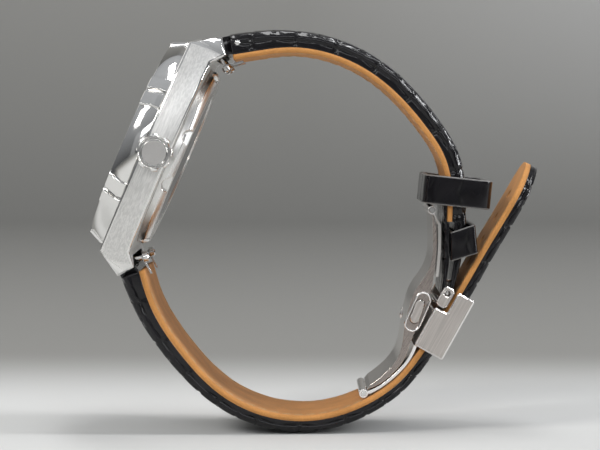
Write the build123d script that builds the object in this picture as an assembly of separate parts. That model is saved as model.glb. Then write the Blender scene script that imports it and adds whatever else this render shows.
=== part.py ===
from build123d import *
import math
import os

os.makedirs("parts", exist_ok=True)

# A wristwatch closed as it is worn. Sizes are millimetres.
# The origin is the centre of the wrist loop, on the line through the middle of the dial.
# Y runs across the wrist and 3 o'clock points along -Y. The case is built upright,
# with 3 o'clock on X, 12 o'clock on Y and the dial facing Z, and is then placed.

# Placing of the case
lean_angle = 66.5
wrist_to_case = 27.25

# Mid-case, whose lengths at the front, the lug tips and the lug feet overhang its width
case_width = 41.0
front_overhang = 0.5
lug_tip_overhang = 3.75
lug_foot_overhang = 0.85
flank_height = 5.15
lug_tip_drop = 4.9
lug_foot_drop = 7.1
flank_bevel = 0.35
bar_depth = 1.65

# Bezel and crystal
bezel_inset = 0.1
bezel_slope = 1.2
bezel_width = 4.8
bezel_height = 3.7
bezel_rim = 1.2
arm_reach = 0.55
arm_width = 2.7
arm_gap = 0.9
arm_proud = 0.12
arm_root = 2.6
arm_pairs = 6
crystal_step = 0.1
crystal_thickness = 1.6
crystal_proud = 0.1
crystal_shelf = 0.5
crystal_shelf_height = 0.4
gasket_width = 0.3

# Case back
back_ring_width = 2.2
back_ring_height = 2.1
back_ring_edge = 0.9
back_ring_land = 1.15
back_skirt_height = 1.0
back_window_inset = 2.4
back_window_shelf = 0.7
back_crystal_thickness = 1.0
back_crystal_recess = 0.15
back_gasket_offset = 0.8
back_gasket_width = 0.6
back_gasket_depth = 0.3
notch_radius = 1.5
notch_depth = 1.3
notch_spread = 16.0
notch_groups = 4

# Dial and hands
dial_thickness = 0.4
dial_top = 4.9
dial_ring_height = 1.9
dial_ring_foot = 1.1
dial_ring_lip = 0.4
marker_length = 3.2
marker_width = 0.9
marker_height = 0.35
marker_inset = 3.7
hour_marks = 12
hand_thickness = 0.2
hand_step = 0.5
hand_lift = 0.55
hour_hand_inset = 7.0
minute_hand_inset = 3.4
seconds_hand_inset = 2.6
seconds_hand_tail = 3.8
hour_hand_width = 1.5
minute_hand_width = 1.2
seconds_hand_width = 0.35
seconds_post_radius = 0.3
hour_hand_angle = 54.0
minute_hand_angle = -60.0
seconds_hand_angle = -150.0
hand_wall = 0.22
hand_play = 0.06

# Movement
movement_ring_width = 2.6
movement_floor = 1.0
movement_gap = 0.1
movement_well = 1.0
rotor_inset = 0.4
rotor_hub_radius = 2.4
rotor_web = 0.35
rotor_weight = 0.85
rotor_weight_width = 3.0
rotor_top = 0.3
bearing_radius = 1.4
bearing_flange = 2.0
bearing_flange_height = 0.3
balance_share = 0.277
balance_rim = 0.5
balance_height = 0.28
balance_spoke = 0.45
balance_place_shares = (-0.477, 0.415)
balance_drop = 0.2
staff_radius = 0.25
staff_depth = 0.8

# Crown and its stem
crown_radius = 3.43
crown_length = 3.7
crown_stand_off = 0.3
crown_bevel = 0.35
crown_notches = 8
crown_notch_width = 1.25
crown_notch_depth = 0.42
crown_disc_radius = 2.5
crown_groove = 0.22
crown_groove_depth = 0.2
crown_end_wall = 1.1
crown_travel = 1.2
tube_radius = 1.5
tube_bore_radius = 1.0
tube_reach = 1.6
tube_root = 3.2
stem_radius = 0.5
stem_depth = 3.4
crown_gasket_length = 0.5

# Clearances
running_clearance = 0.05
seat_clearance = 0.1
leather_clearance = 0.3
plate_clearance = 0.2
overrun = 1.0

# Spring bars with quick-release levers
bar_tube_radius = 1.1
bar_pin_radius = 0.7
bar_tube_wall = 0.35
lug_hole_depth = 1.3
pin_engagement = 0.9
lever_inset = 2.3
lever_travel = 1.1
lever_stem_radius = 0.45
lever_stem_length = 3.75
lever_head_radius = 0.95
lever_head_length = 1.1
lever_lean = 16.0
lever_tail_width = 0.9
lever_tail_start = 0.5
lever_tail_end = 4.4
lever_tail_thickness = 0.35
lever_tail_height = 3.3
pin_inner_length = 1.6

# Leather strap
strap_width = 26.0
clasp_strap_width = 20.0
tail_play = 0.4
lug_overhang = 0.7
shoulder_overhang = 2.5
tongue_radius = 1.7
tongue_overlap = 0.4
shoulder_distance = 2.85
shoulder_seat = 1.95
strap_thickness = 4.15
lining_thickness = 1.0
cross_pin_radius = 0.5
cross_pin_distance = 4.2

# The wrist loop that the leather follows. Each row is a place on the line between
# the outer leather and the lining, and the outer leather's thickness there.
loop_share = 1.101
UPPER_LINE_SHARES = [
    (-0.343, 1.011, 0.99),
    (-0.093, 1.040, 0.84),
    (0.153, 1.003, 0.80),
    (0.400, 0.890, 0.78),
    (0.608, 0.717, 0.76),
    (0.763, 0.533, 0.74),
    (0.870, 0.357, 0.73),
    (0.911, 0.185, 0.72),
]
LOWER_LINE_SHARES = [
    (-0.973, -0.545, 0.85),
    (-0.773, -0.872, 0.72),
    (-0.520, -1.128, 0.63),
    (-0.187, -1.273, 0.60),
    (0.132, -1.275, 0.58),
    (0.387, -1.187, 0.53),
    (0.587, -1.050, 0.49),
]
TAIL_LINE_SHARES = [
    (1.117, -0.253, 0.47),
    (1.240, -0.047, 0.46),
    (1.363, 0.170, 0.43),
    (1.430, 0.307, 0.38),
]
LINING_END_SHARES = (0.914, -0.043, 0.72)
FOLD_OUTER_SHARES = [(0.998, -0.150), (0.976, -0.300)]
FOLD_INNER_SHARES = [(0.856, -0.400), (0.860, -0.240), (0.860, -0.060), (0.858, 0.073)]
fold_seam_share = 0.895
FOLD_GAP_LEFT_SHARES = [(0.897, -0.045), (0.895, -0.300), (0.880, -0.395)]
FOLD_GAP_RIGHT_SHARES = [(0.903, -0.405), (0.929, -0.300), (0.931, -0.045)]
taper_end_share = 0.75
tail_straight = 24.5
tail_length = 33.4

# Leather keepers
keeper_wall = 1.0
keeper_corner = 1.6
large_keeper_corner = 2.6
large_keeper_length = 12.9
large_keeper_height = 5.5
large_keeper_lean = 6.0
large_keeper_place_shares = (0.947, 0.143)
large_keeper_travel = 3.0
small_keeper_wall = 0.7
SMALL_KEEPER_SHARES = [(0.9015, -0.107), (1.058, -0.055), (1.080, -0.238), (0.9015, -0.292)]

# Clasp, in a frame at the middle of the strap inside the buckle box:
# along the strap, and outwards from the wrist
clasp_place_shares = (0.8783, -0.6517)
clasp_lean = 61.0
plate_thickness = 0.7
box_wall = 0.7
box_side_wall = 0.8
box_side_play = 0.25
box_top = 5.5
box_bottom = -7.1
box_outer = 3.05
box_inner = -2.9
box_step = 1.1
box_step_side = -0.45
box_corner = 0.8
stud_place = -3.2
stud_radius = 0.7
stud_reach = 2.6
clasp_bar_along = 4.34
clasp_bar_in = -2.17
clasp_bar_radius = 0.55
fold_radius = 1.15
ear_top = 5.6
ear_bottom = 1.5
ear_outer = -1.05
ear_inner = -3.25
ear_web = 0.6
ear_web_start = 0.15
ear_corner = 0.9

# Folding blades of the clasp
blade_inset = 1.0
knuckle_radius = 0.85
knuckle_width = 8.8
knuckle_gap = 0.1
hinge_pin_radius = 0.5
upper_hinge_shares = (0.792, 0.028)
lower_hinge_shares = (0.3643, -1.1233)
BASE_INNER_SHARES = [
    (0.795, -0.080), (0.797, -0.200), (0.788, -0.290), (0.757, -0.370), (0.693, -0.463),
    (0.643, -0.600), (0.615, -0.757), (0.600, -0.840), (0.565, -0.920), (0.480, -1.012),
    (0.405, -1.070),
]
BASE_OUTER_SHARES = [
    (0.397, -1.093), (0.452, -1.071), (0.542, -1.002), (0.616, -0.912), (0.653, -0.812),
    (0.697, -0.710), (0.743, -0.607),
    (0.778, -0.507), (0.800, -0.405), (0.813, -0.295), (0.820, -0.200), (0.818, -0.080),
]
UPPER_WING_INNER_SHARES = [(0.827, -0.060), (0.828, -0.200), (0.822, -0.295), (0.812, -0.388)]
UPPER_WING_OUTER_SHARES = [(0.832, -0.390), (0.842, -0.295), (0.848, -0.200), (0.847, -0.060)]
LOWER_WING_INNER_SHARES = [(0.400, -1.103), (0.456, -1.077), (0.547, -1.007), (0.629, -0.918)]
LOWER_WING_OUTER_SHARES = [(0.644, -0.930), (0.560, -1.021), (0.467, -1.092), (0.407, -1.125)]
button_place_shares = (0.70, -0.6067)
button_lean = 70.0
button_length = 4.6
button_width = 1.7
button_proud = 0.6
button_depth = 1.4
button_travel = 0.45
tail_holes = 5
tail_hole_radius = 0.75
tail_hole_pitch = 5.0
tail_hole_first = 6.3

cos_lean = math.cos(math.radians(lean_angle))
sin_lean = math.sin(math.radians(lean_angle))
front_length = case_width + 2 * front_overhang
lug_tip_length = case_width + 2 * lug_tip_overhang
lug_foot_length = case_width + 2 * lug_foot_overhang
bezel_radius = case_width / 2 - bezel_inset
bezel_top_radius = bezel_radius - bezel_slope
case_bore_radius = bezel_radius - bezel_width
crystal_radius = case_bore_radius + crystal_step
back_ring_radius = case_bore_radius + back_ring_width
back_length = 2 * (back_ring_radius + back_ring_land)
back_window_radius = case_bore_radius - back_window_inset
back_gasket_radius = case_bore_radius + back_gasket_offset
marker_radius = case_bore_radius - marker_inset
hour_hand_length = case_bore_radius - hour_hand_inset
minute_hand_length = case_bore_radius - minute_hand_inset
seconds_hand_length = case_bore_radius - seconds_hand_inset
movement_radius = case_bore_radius - movement_ring_width
rotor_radius = movement_radius - rotor_inset
balance_radius = balance_share * movement_radius
balance_x = balance_place_shares[0] * movement_radius
balance_y = balance_place_shares[1] * movement_radius
bezel_base = flank_height
bezel_top = bezel_base + bezel_height
crystal_base = bezel_top + crystal_proud - crystal_thickness
flank_x = case_width / 2
lug_width = strap_width + 2 * lug_overhang
lug_slot_width = strap_width - 2 * shoulder_overhang
lever_spacing = lug_slot_width - 2 * lever_inset
tail_width = clasp_strap_width - 2 * tail_play
blade_width = clasp_strap_width - 2 * blade_inset
crown_z = flank_height / 2
loop_size = loop_share * wrist_to_case

case_plane = Plane(
    origin=(-wrist_to_case * sin_lean, 0, wrist_to_case * cos_lean),
    x_dir=(0, -1, 0),
    z_dir=(-sin_lean, 0, cos_lean),
)


def save(node, shape):
    """Write one node to its own file."""
    export_step(shape, "parts/" + node + ".step")


def in_case(shape):
    """Place a shape that was built upright into the leaning case."""
    return case_plane.location * shape


def disc(radius, low, high):
    """An upright cylinder from one height to another."""
    upright = Cylinder(radius, high - low, align=(Align.CENTER, Align.CENTER, Align.MIN))
    return Pos(0, 0, low) * upright


def ring(outer, inner, low, high):
    """An upright ring from one height to another."""
    return disc(outer, low, high) - disc(inner, low - overrun, high + overrun)


def rod_x(radius, low, high, height):
    """A cylinder along X at a height, from one X to another."""
    rod = Cylinder(radius, high - low, align=(Align.CENTER, Align.CENTER, Align.MIN))
    return Pos(low, 0, height) * Rot(0, 90, 0) * rod


def rod_across(plane, radius, along, out, low, high):
    """A cylinder across a profile plane, at a place in that plane."""
    rod = Cylinder(radius, high - low, align=(Align.CENTER, Align.CENTER, Align.MIN))
    return plane.location * Pos(along, out, low) * rod


def block_across(plane, along, out, low, high):
    """A block across a profile plane, from pairs of limits along and out."""
    block = Box(
        along[1] - along[0], out[1] - out[0], high - low, align=(Align.MIN, Align.MIN, Align.MIN)
    )
    return plane.location * Pos(along[0], out[0], low) * block


def revolved(points):
    """A closed outline in radius and height, turned about the dial's axis."""
    return revolve(Plane.XZ * make_face(Polyline(*points, close=True)), Axis.Z)


def across(outline, width):
    """A closed outline seen from the side of the wrist, made as wide as given."""
    return extrude(Plane.XZ * make_face(outline), amount=width / 2, both=True)


def sized(shares):
    """Places in the wrist loop from shares of its size."""
    return [(x * loop_size, z * loop_size) for x, z in shares]


# The lug end face sets the frame in which each strap end is built
lug_tip_z = flank_height - lug_tip_drop
lug_foot_z = flank_height - lug_foot_drop
face_run = (lug_tip_length - lug_foot_length) / 2
face_rise = lug_tip_z - lug_foot_z
face_size = math.hypot(face_run, face_rise)
away_y = face_rise / face_size
away_z = -face_run / face_size
face_middle_y = (lug_tip_length + lug_foot_length) / 4
face_middle_z = (lug_tip_z + lug_foot_z) / 2
bar_y = face_middle_y - bar_depth * away_y
bar_z = face_middle_z - bar_depth * away_z


def case_to_world(along, height):
    """A point on the case's middle plane: 12 o'clock distance and height to X and Z."""
    out = height + wrist_to_case
    return (along * cos_lean - out * sin_lean, along * sin_lean + out * cos_lean)


def end_plane(end):
    """Frame of a strap end at its spring bar: away from the case, and towards the wrist."""
    x, z = case_to_world(end * bar_y, bar_z)
    away = (end * away_y * cos_lean - away_z * sin_lean, end * away_y * sin_lean + away_z * cos_lean)
    return Plane(origin=(x, 0, z), x_dir=(away[0], 0, away[1]), z_dir=(0, end, 0))


def plane_point(plane, along, out):
    """X and Z of a place in a profile plane."""
    spot = plane.from_local_coords((along, out, 0))
    return (spot.X, spot.Z)


clasp_plane = Plane(
    origin=(clasp_place_shares[0] * loop_size, 0, clasp_place_shares[1] * loop_size),
    x_dir=(math.cos(math.radians(clasp_lean)), 0, math.sin(math.radians(clasp_lean))),
    z_dir=(0, 1, 0),
)


def mid_case():
    half = [
        (front_length / 2, flank_height),
        (lug_tip_length / 2, lug_tip_z),
        (lug_foot_length / 2, lug_foot_z),
        (back_length / 2, 0),
    ]
    side = half + [(-y, z) for y, z in reversed(half)]
    body = extrude(Plane.YZ * make_face(Polyline(*side, close=True)), amount=flank_x, both=True)
    corner_x = lug_width / 2
    corner_y = lug_tip_length / 2
    plan = make_face([
        ThreePointArc((corner_x, -corner_y), (flank_x, 0), (corner_x, corner_y)),
        Line((corner_x, corner_y), (-corner_x, corner_y)),
        ThreePointArc((-corner_x, corner_y), (-flank_x, 0), (-corner_x, -corner_y)),
        Line((-corner_x, -corner_y), (corner_x, -corner_y)),
    ])
    body = body & extrude(Pos(0, 0, lug_foot_z - overrun) * plan, amount=lug_foot_drop + 2 * overrun)
    flanks = body.faces().sort_by(Axis.X)
    body = chamfer(flanks[0].edges() + flanks[-1].edges(), flank_bevel)
    body -= disc(case_bore_radius, -overrun, flank_height + overrun)
    for end in (1, -1):
        well = Pos(0, end * bar_y, bar_z) * Rot(0, 90, 0) * Cylinder(
            tongue_radius + leather_clearance, lug_slot_width
        )
        slot_depth = lug_tip_length / 2 - front_length / 2 + overrun
        slot = Pos(0, end * (front_length / 2 + slot_depth / 2), bar_z) * Box(
            lug_slot_width, slot_depth, 2 * lug_foot_drop
        )
        under = Pos(0, end * bar_y, bar_z - lug_foot_drop / 2) * Box(
            lug_slot_width, 2 * (tongue_radius + leather_clearance), lug_foot_drop
        )
        hole = Pos(0, end * bar_y, bar_z) * Rot(0, 90, 0) * Cylinder(
            bar_pin_radius + running_clearance, lug_slot_width + 2 * lug_hole_depth
        )
        body = body - well - slot - under - hole
    tube_hole = rod_x(tube_radius, case_bore_radius - overrun, flank_x + overrun, crown_z)
    return body - tube_hole


def bezel_profile(reach, proud):
    """Half section of the bezel's outer wall, further out for its arms."""
    return [
        (bezel_radius + reach, bezel_base),
        (bezel_radius + reach, bezel_base + bezel_rim),
        (bezel_top_radius + reach, bezel_top + proud),
    ]


def bezel():
    pocket = crystal_radius + gasket_width
    shelf = crystal_radius - crystal_shelf
    shelf_low = crystal_base - crystal_shelf_height
    inner = [
        (pocket, bezel_top),
        (pocket, crystal_base),
        (shelf, crystal_base),
        (shelf, shelf_low),
        (case_bore_radius, shelf_low),
        (case_bore_radius, bezel_base),
    ]
    body = revolved(bezel_profile(0, 0) + inner)
    root_radius = bezel_top_radius - arm_root
    arm_ring = revolved(
        bezel_profile(arm_reach, arm_proud)
        + [(root_radius, bezel_top + arm_proud), (root_radius, bezel_base)]
    )
    arm_step = arm_width + arm_gap
    for pair in range(arm_pairs):
        for side in (-1, 1):
            bar = Pos(bezel_radius, side * arm_step / 2, bezel_base + bezel_height / 2) * Box(
                2 * (arm_root + arm_reach + overrun), arm_width, bezel_height + 2 * overrun
            )
            body += arm_ring & (Rot(0, 0, 360 / arm_pairs * pair + 90) * bar)
    return body


def back_ring():
    lip = back_window_radius - back_window_shelf
    pocket_floor = back_crystal_recess + back_crystal_thickness - back_ring_height
    body = revolved([
        (back_ring_radius, 0),
        (back_ring_radius, back_ring_edge - back_ring_height),
        (back_ring_radius - back_ring_edge, -back_ring_height),
        (back_window_radius + gasket_width, -back_ring_height),
        (back_window_radius + gasket_width, pocket_floor),
        (lip, pocket_floor),
        (lip, pocket_floor + back_gasket_depth),
        (back_window_radius, pocket_floor + back_gasket_depth),
        (back_window_radius, back_skirt_height),
        (case_bore_radius - seat_clearance, back_skirt_height),
        (case_bore_radius - seat_clearance, 0),
    ])
    body -= ring(back_gasket_radius + back_gasket_width, back_gasket_radius, -back_gasket_depth, overrun)
    notch = rod_x(notch_radius, back_ring_radius - notch_depth, back_ring_radius + overrun, -back_ring_height)
    for group in range(notch_groups):
        for side in (-1, 1):
            body -= Rot(0, 0, 360 / notch_groups * group + side * notch_spread) * notch
    return body


def back_crystal():
    low = back_crystal_recess - back_ring_height
    return disc(back_window_radius, low, low + back_crystal_thickness)


def back_crystal_gasket():
    low = back_crystal_recess - back_ring_height
    return ring(back_window_radius + gasket_width, back_window_radius, low, low + back_crystal_thickness)


def dial():
    hour_tube = seconds_post_radius + 2 * (hand_play + hand_wall)
    return disc(case_bore_radius - seat_clearance, dial_top - dial_thickness, dial_top) - disc(
        hour_tube + 2 * hand_play, 0, dial_top + overrun
    )


def dial_ring():
    outer = case_bore_radius - seat_clearance
    return revolved([
        (outer, dial_top),
        (outer, dial_top + dial_ring_height),
        (outer - dial_ring_lip, dial_top + dial_ring_height),
        (outer - dial_ring_foot, dial_top),
    ])


def hour_markers():
    marks = []
    for hour in range(hour_marks):
        places = (-marker_width, marker_width) if hour == 0 else (0,)
        for side in places:
            width = marker_width / 2 if hour == 0 else marker_width
            bar = Box(width, marker_length, marker_height, align=(Align.CENTER, Align.CENTER, Align.MIN))
            bar = chamfer(bar.edges().group_by(Axis.Z)[-1], marker_height / 3)
            marks.append(Rot(0, 0, -360 / hour_marks * hour) * Pos(side / 2, marker_radius, dial_top) * bar)
    return Compound(children=marks)


def hand(length, width, tail, level, bore, angle):
    """A tapering hand on a tube that reaches down into the movement."""
    low = dial_top + hand_lift + level * hand_step
    wall = bore + hand_wall if bore else seconds_post_radius
    half = width / 2
    blade = make_face(Polyline(
        (-half / 2, -tail), (half / 2, -tail), (half, length / 4), (0, length), (-half, length / 4),
        close=True,
    ))
    body = extrude(Pos(0, 0, low) * blade, amount=hand_thickness)
    body += disc(wall + hand_wall, low, low + hand_thickness)
    body += disc(wall, dial_top - dial_thickness - movement_gap, low + hand_thickness)
    if bore:
        body -= disc(bore, 0, bezel_top)
    return Rot(0, 0, -angle) * body


def movement():
    top = dial_top - dial_thickness
    body = disc(movement_radius, movement_floor, top)
    well = seconds_post_radius + 2 * (hand_play + hand_wall) + 2 * hand_play
    body -= disc(well, top - movement_well, top + overrun)
    body -= rod_x(stem_radius + running_clearance, movement_radius - stem_depth - crown_travel,
                  movement_radius + overrun, crown_z)
    bridge_cut = Pos(balance_x, balance_y, 0) * disc(
        balance_radius + leather_clearance, movement_floor - overrun, movement_floor + balance_height
    )
    staff_hole = Pos(balance_x, balance_y, 0) * disc(
        staff_radius + running_clearance, 0, movement_floor + balance_height + staff_depth
    )
    return body - bridge_cut - staff_hole


def movement_ring():
    body = ring(case_bore_radius - seat_clearance, movement_radius, back_skirt_height, dial_top - dial_thickness)
    return body - rod_x(stem_radius + leather_clearance, 0, case_bore_radius, crown_z)


def balance_wheel():
    low = movement_floor - balance_drop
    body = ring(balance_radius, balance_radius - balance_rim, low, low + balance_height)
    for turn in (0, 120, 240):
        arm = Pos(0, 0, low) * Rot(0, 0, turn) * Pos((balance_radius - balance_rim / 2) / 2, 0, 0) * Box(
            balance_radius - balance_rim / 2, balance_spoke, balance_height,
            align=(Align.CENTER, Align.CENTER, Align.MIN),
        )
        body += arm
    body += disc(staff_radius, low, movement_floor + balance_height + staff_depth)
    return Pos(balance_x, balance_y, 0) * body


def rotor():
    """A half-round winding weight on a thin web, turning about the bearing."""
    web = disc(rotor_radius, rotor_top - rotor_web, rotor_top)
    weight = ring(rotor_radius, rotor_radius - rotor_weight_width, rotor_top - rotor_weight, rotor_top)
    half = Pos(-rotor_radius, 0, 0) * Box(2 * rotor_radius, 2 * rotor_radius + overrun, 2 * bezel_top)
    body = (web + weight) & half
    body += disc(rotor_hub_radius, rotor_top - rotor_web, rotor_top)
    body -= disc(bearing_radius + running_clearance, -back_ring_height, bezel_top)
    return Rot(0, 0, -lean_angle) * body


def rotor_bearing():
    low = rotor_top - rotor_web - seat_clearance - bearing_flange_height
    return disc(bearing_radius, low, movement_floor) + disc(bearing_flange, low, low + bearing_flange_height)


def crown():
    start = flank_x + crown_stand_off
    end = start + crown_length
    body = rod_x(crown_radius, start, end, crown_z)
    rims = body.edges().filter_by(GeomType.CIRCLE)
    body = chamfer(rims, crown_bevel)
    notch = Box(crown_length + 2 * overrun, crown_notch_width, 2 * crown_notch_depth,
                align=(Align.MIN, Align.CENTER, Align.CENTER))
    for place in range(crown_notches):
        turn = Pos(start - overrun, 0, crown_z) * Rot(360 / crown_notches * place, 0, 0)
        body -= turn * Pos(0, 0, crown_radius) * notch
    groove = rod_x(crown_disc_radius + crown_groove, end - crown_groove_depth, end + overrun, crown_z)
    groove -= rod_x(crown_disc_radius, end - 2 * crown_groove_depth, end + 2 * overrun, crown_z)
    hollow = rod_x(tube_radius + gasket_width, start - overrun, end - crown_end_wall, crown_z)
    socket = rod_x(stem_radius, start, end - crown_end_wall / 2, crown_z)
    return body - groove - hollow - socket


def crown_stem():
    end = flank_x + crown_stand_off + crown_length - crown_end_wall / 2
    return rod_x(stem_radius, movement_radius - stem_depth, end, crown_z)


def crown_tube():
    tube = rod_x(tube_radius, flank_x - tube_root, flank_x + tube_reach, crown_z)
    return tube - rod_x(tube_bore_radius, 0, 2 * flank_x, crown_z)


def crown_gasket():
    start = flank_x + crown_stand_off
    seal = rod_x(tube_radius + gasket_width, start + crown_gasket_length, start + 2 * crown_gasket_length, crown_z)
    return seal - rod_x(tube_radius + running_clearance, 0, 2 * flank_x, crown_z)


def bar_tube(end):
    """The tube of a spring bar, with a window for each lever."""
    plane = end_plane(end)
    half = lug_slot_width / 2 - leather_clearance
    tube = rod_across(plane, bar_tube_radius, 0, 0, -half, half)
    tube -= rod_across(plane, bar_tube_radius - bar_tube_wall, 0, 0, -half - overrun, half + overrun)
    for side in (-1, 1):
        tube -= lever_window(plane, side, 0)
    return tube


def lever_window(plane, side, margin):
    """The room that a lever's stem sweeps through a spring bar and its leather."""
    reach = lever_stem_radius + running_clearance + margin
    ends = sorted((
        side * (lever_spacing / 2 + reach),
        side * (lever_spacing / 2 - lever_travel - reach),
    ))
    width = lever_stem_radius + leather_clearance + margin
    return block_across(plane, (-width, width + tongue_radius / 2), (0, 2 * tongue_radius), ends[0], ends[1])


def release_lever(end, side):
    """Pin, stem, T-shaped head and tail of one quick-release lever."""
    plane = end_plane(end)
    middle = lever_spacing / 2
    span = sorted((
        side * (middle - pin_inner_length), side * (lug_slot_width / 2 + pin_engagement)
    ))
    body = rod_across(plane, bar_pin_radius, 0, 0, span[0], span[1])
    stem = Cylinder(lever_stem_radius, lever_stem_length, align=(Align.CENTER, Align.CENTER, Align.MIN))
    head = Pos(0, 0, lever_stem_length) * Cylinder(
        lever_head_radius, lever_head_length, align=(Align.CENTER, Align.CENTER, Align.MIN)
    )
    head = chamfer(head.edges().group_by(Axis.Z)[-1], lever_stem_radius / 2)
    body += plane.location * Pos(0, 0, side * middle) * Rot(0, 0, -lever_lean) * Rot(-90, 0, 0) * (stem + head)
    tail = block_across(
        plane,
        (lever_tail_start, lever_tail_end),
        (lever_tail_height, lever_tail_height + lever_tail_thickness),
        side * middle - lever_tail_width / 2,
        side * middle + lever_tail_width / 2,
    )
    return body + tail


def offset_points(rows, outward):
    """Places set off from a line by a distance at each of them."""
    points = []
    for place, (x, z, gap) in enumerate(rows):
        before = rows[max(place - 1, 0)]
        after = rows[min(place + 1, len(rows) - 1)]
        run = after[0] - before[0]
        rise = after[1] - before[1]
        size = math.hypot(run, rise)
        points.append((x - outward * rise / size * gap, z + outward * run / size * gap))
    return points


def loop_rows(shares):
    """Rows of place and thickness from rows of shares."""
    return [(x * loop_size, z * loop_size, thick * strap_thickness) for x, z, thick in shares]


def upper_rows():
    start = plane_point(end_plane(1), shoulder_distance, shoulder_seat)
    return [(start[0], start[1], strap_thickness)] + loop_rows(UPPER_LINE_SHARES + [LINING_END_SHARES])


def lower_rows():
    start = plane_point(end_plane(-1), shoulder_distance, shoulder_seat)
    thin = TAIL_LINE_SHARES[0][2] * strap_thickness
    in_box = [
        plane_point(clasp_plane, box_bottom, -lining_thickness / 2),
        plane_point(clasp_plane, 0, 0),
        plane_point(clasp_plane, box_top, lining_thickness / 3),
    ]
    rows = [(start[0], start[1], strap_thickness)] + loop_rows(LOWER_LINE_SHARES)
    return rows + [(x, z, thin) for x, z in in_box] + loop_rows(TAIL_LINE_SHARES)


def band(rows, outward):
    """The face between a line and its offset, both smooth curves."""
    near = [(x, z) for x, z, gap in rows]
    far = offset_points(rows, outward)
    return make_face([
        Spline(*near),
        Line(near[-1], far[-1]),
        Spline(*reversed(far)),
        Line(far[0], near[0]),
    ])


def lining_rows(rows):
    return [(x, z, lining_thickness) for x, z, gap in rows]


def upper_plan():
    """The upper strap from above: broad at the case, tapering to the clasp."""
    start = plane_point(end_plane(1), 0, 0)[0]
    wide = strap_width / 2
    slim = clasp_strap_width / 2
    end = 2 * loop_size
    half = [(start, wide), (taper_end_share * loop_size, slim), (end, slim)]
    return prism(make_face(Polyline(*(half + [(x, -y) for x, y in reversed(half)]), close=True)))


def lower_plan():
    """The lower strap from above, tapering to its tail."""
    start = plane_point(end_plane(-1), 0, -strap_thickness)[0]
    wide = strap_width / 2
    slim = tail_width / 2
    half = [(start, wide), (taper_end_share * loop_size, slim), (2 * loop_size, slim)]
    return prism(make_face(Polyline(*(half + [(x, -y) for x, y in reversed(half)]), close=True)))


def tail_plan():
    """The rounded tip, seen square to the tail, with room for the rest of the strap."""
    wide = strap_width
    slim = tail_width / 2
    far = -4 * loop_size
    outline = [
        Polyline(
            (tail_straight, -slim), (box_top, -slim), (box_top, -wide), (far, -wide),
            (far, wide), (box_top, wide), (box_top, slim), (tail_straight, slim),
        ),
        ThreePointArc((tail_straight, slim), (tail_length, 0), (tail_straight, -slim)),
    ]
    flat = Plane(origin=clasp_plane.origin, x_dir=clasp_plane.x_dir, z_dir=clasp_plane.y_dir)
    return extrude(flat * make_face(outline), amount=4 * loop_size, both=True)


def prism(face):
    """A plan outline made tall enough to cut the whole loop."""
    return extrude(Pos(0, 0, -2 * loop_size) * face, amount=4 * loop_size)


def tongue(end):
    """The narrow end of a strap, wrapped round the spring bar between the lugs."""
    plane = end_plane(end)
    half = lug_slot_width / 2 - leather_clearance
    body = rod_across(plane, tongue_radius, 0, 0, -half, half)
    body += block_across(plane, (0, shoulder_distance + tongue_overlap), (-tongue_radius, tongue_radius), -half, half)
    return body


def tongue_holes(end):
    plane = end_plane(end)
    wide = strap_width
    holes = rod_across(plane, bar_tube_radius, 0, 0, -wide, wide)
    for side in (-1, 1):
        holes += lever_window(plane, side, plate_clearance)
    return holes


def lever_room(end):
    """The room that the levers' heads and tails sweep under a strap end."""
    plane = end_plane(end)
    low = tongue_radius + plate_clearance
    high = lever_stem_length + lever_head_length + plate_clearance
    tail_low = lever_tail_height - running_clearance
    reach = lever_head_radius + plate_clearance
    room = None
    for side in (-1, 1):
        ends = sorted((
            side * (lever_spacing / 2 + reach),
            side * (lever_spacing / 2 - lever_travel - reach),
        ))
        head = block_across(plane, (-reach, shoulder_distance - plate_clearance), (low, high), ends[0], ends[1])
        tail = block_across(plane, (0, lever_tail_end + plate_clearance), (tail_low, high), ends[0], ends[1])
        room = head + tail if room is None else room + head + tail
    return room


def clasp_bar_point():
    return plane_point(clasp_plane, clasp_bar_along, clasp_bar_in)


def strap_fold():
    """The end of the upper strap, turned back round the clasp's bar."""
    rows = upper_rows()
    start = (rows[-1][0], rows[-1][1])
    start_outer = offset_points(rows, 1)[-1]
    outer = sized(FOLD_OUTER_SHARES)
    inner = sized(FOLD_INNER_SHARES)
    seam = fold_seam_share * loop_size
    x, z = clasp_bar_point()
    right = (x + fold_radius, z)
    low = (x, z - fold_radius)
    left = (x - fold_radius, z)
    return make_face([
        Line(start, start_outer),
        Spline(start_outer, *outer, right),
        ThreePointArc(right, low, left),
        Spline(left, *inner),
        Polyline(inner[-1], (seam, inner[-1][1]), (seam, start[1]), start),
    ])


def fold_gap():
    return make_face(Polyline(*sized(FOLD_GAP_LEFT_SHARES), *sized(FOLD_GAP_RIGHT_SHARES), close=True))


def upper_strap():
    body = extrude(Plane.XZ * band(upper_rows(), 1), amount=strap_width, both=True)
    body += extrude(Plane.XZ * strap_fold(), amount=strap_width, both=True)
    body -= extrude(Plane.XZ * fold_gap(), amount=strap_width, both=True)
    body = (body & upper_plan()) - upper_lining()
    body += tongue(1)
    wide = strap_width
    body = body - tongue_holes(1) - lever_room(1)
    body -= rod_across(end_plane(1), cross_pin_radius, cross_pin_distance, 0, -wide, wide)
    body -= rod_across(clasp_plane, clasp_bar_radius, clasp_bar_along, clasp_bar_in, -wide, wide)
    return body


def upper_lining():
    rows = lining_rows(upper_rows())
    return (extrude(Plane.XZ * band(rows, -1), amount=strap_width, both=True) & upper_plan()) - lever_room(1)


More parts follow.
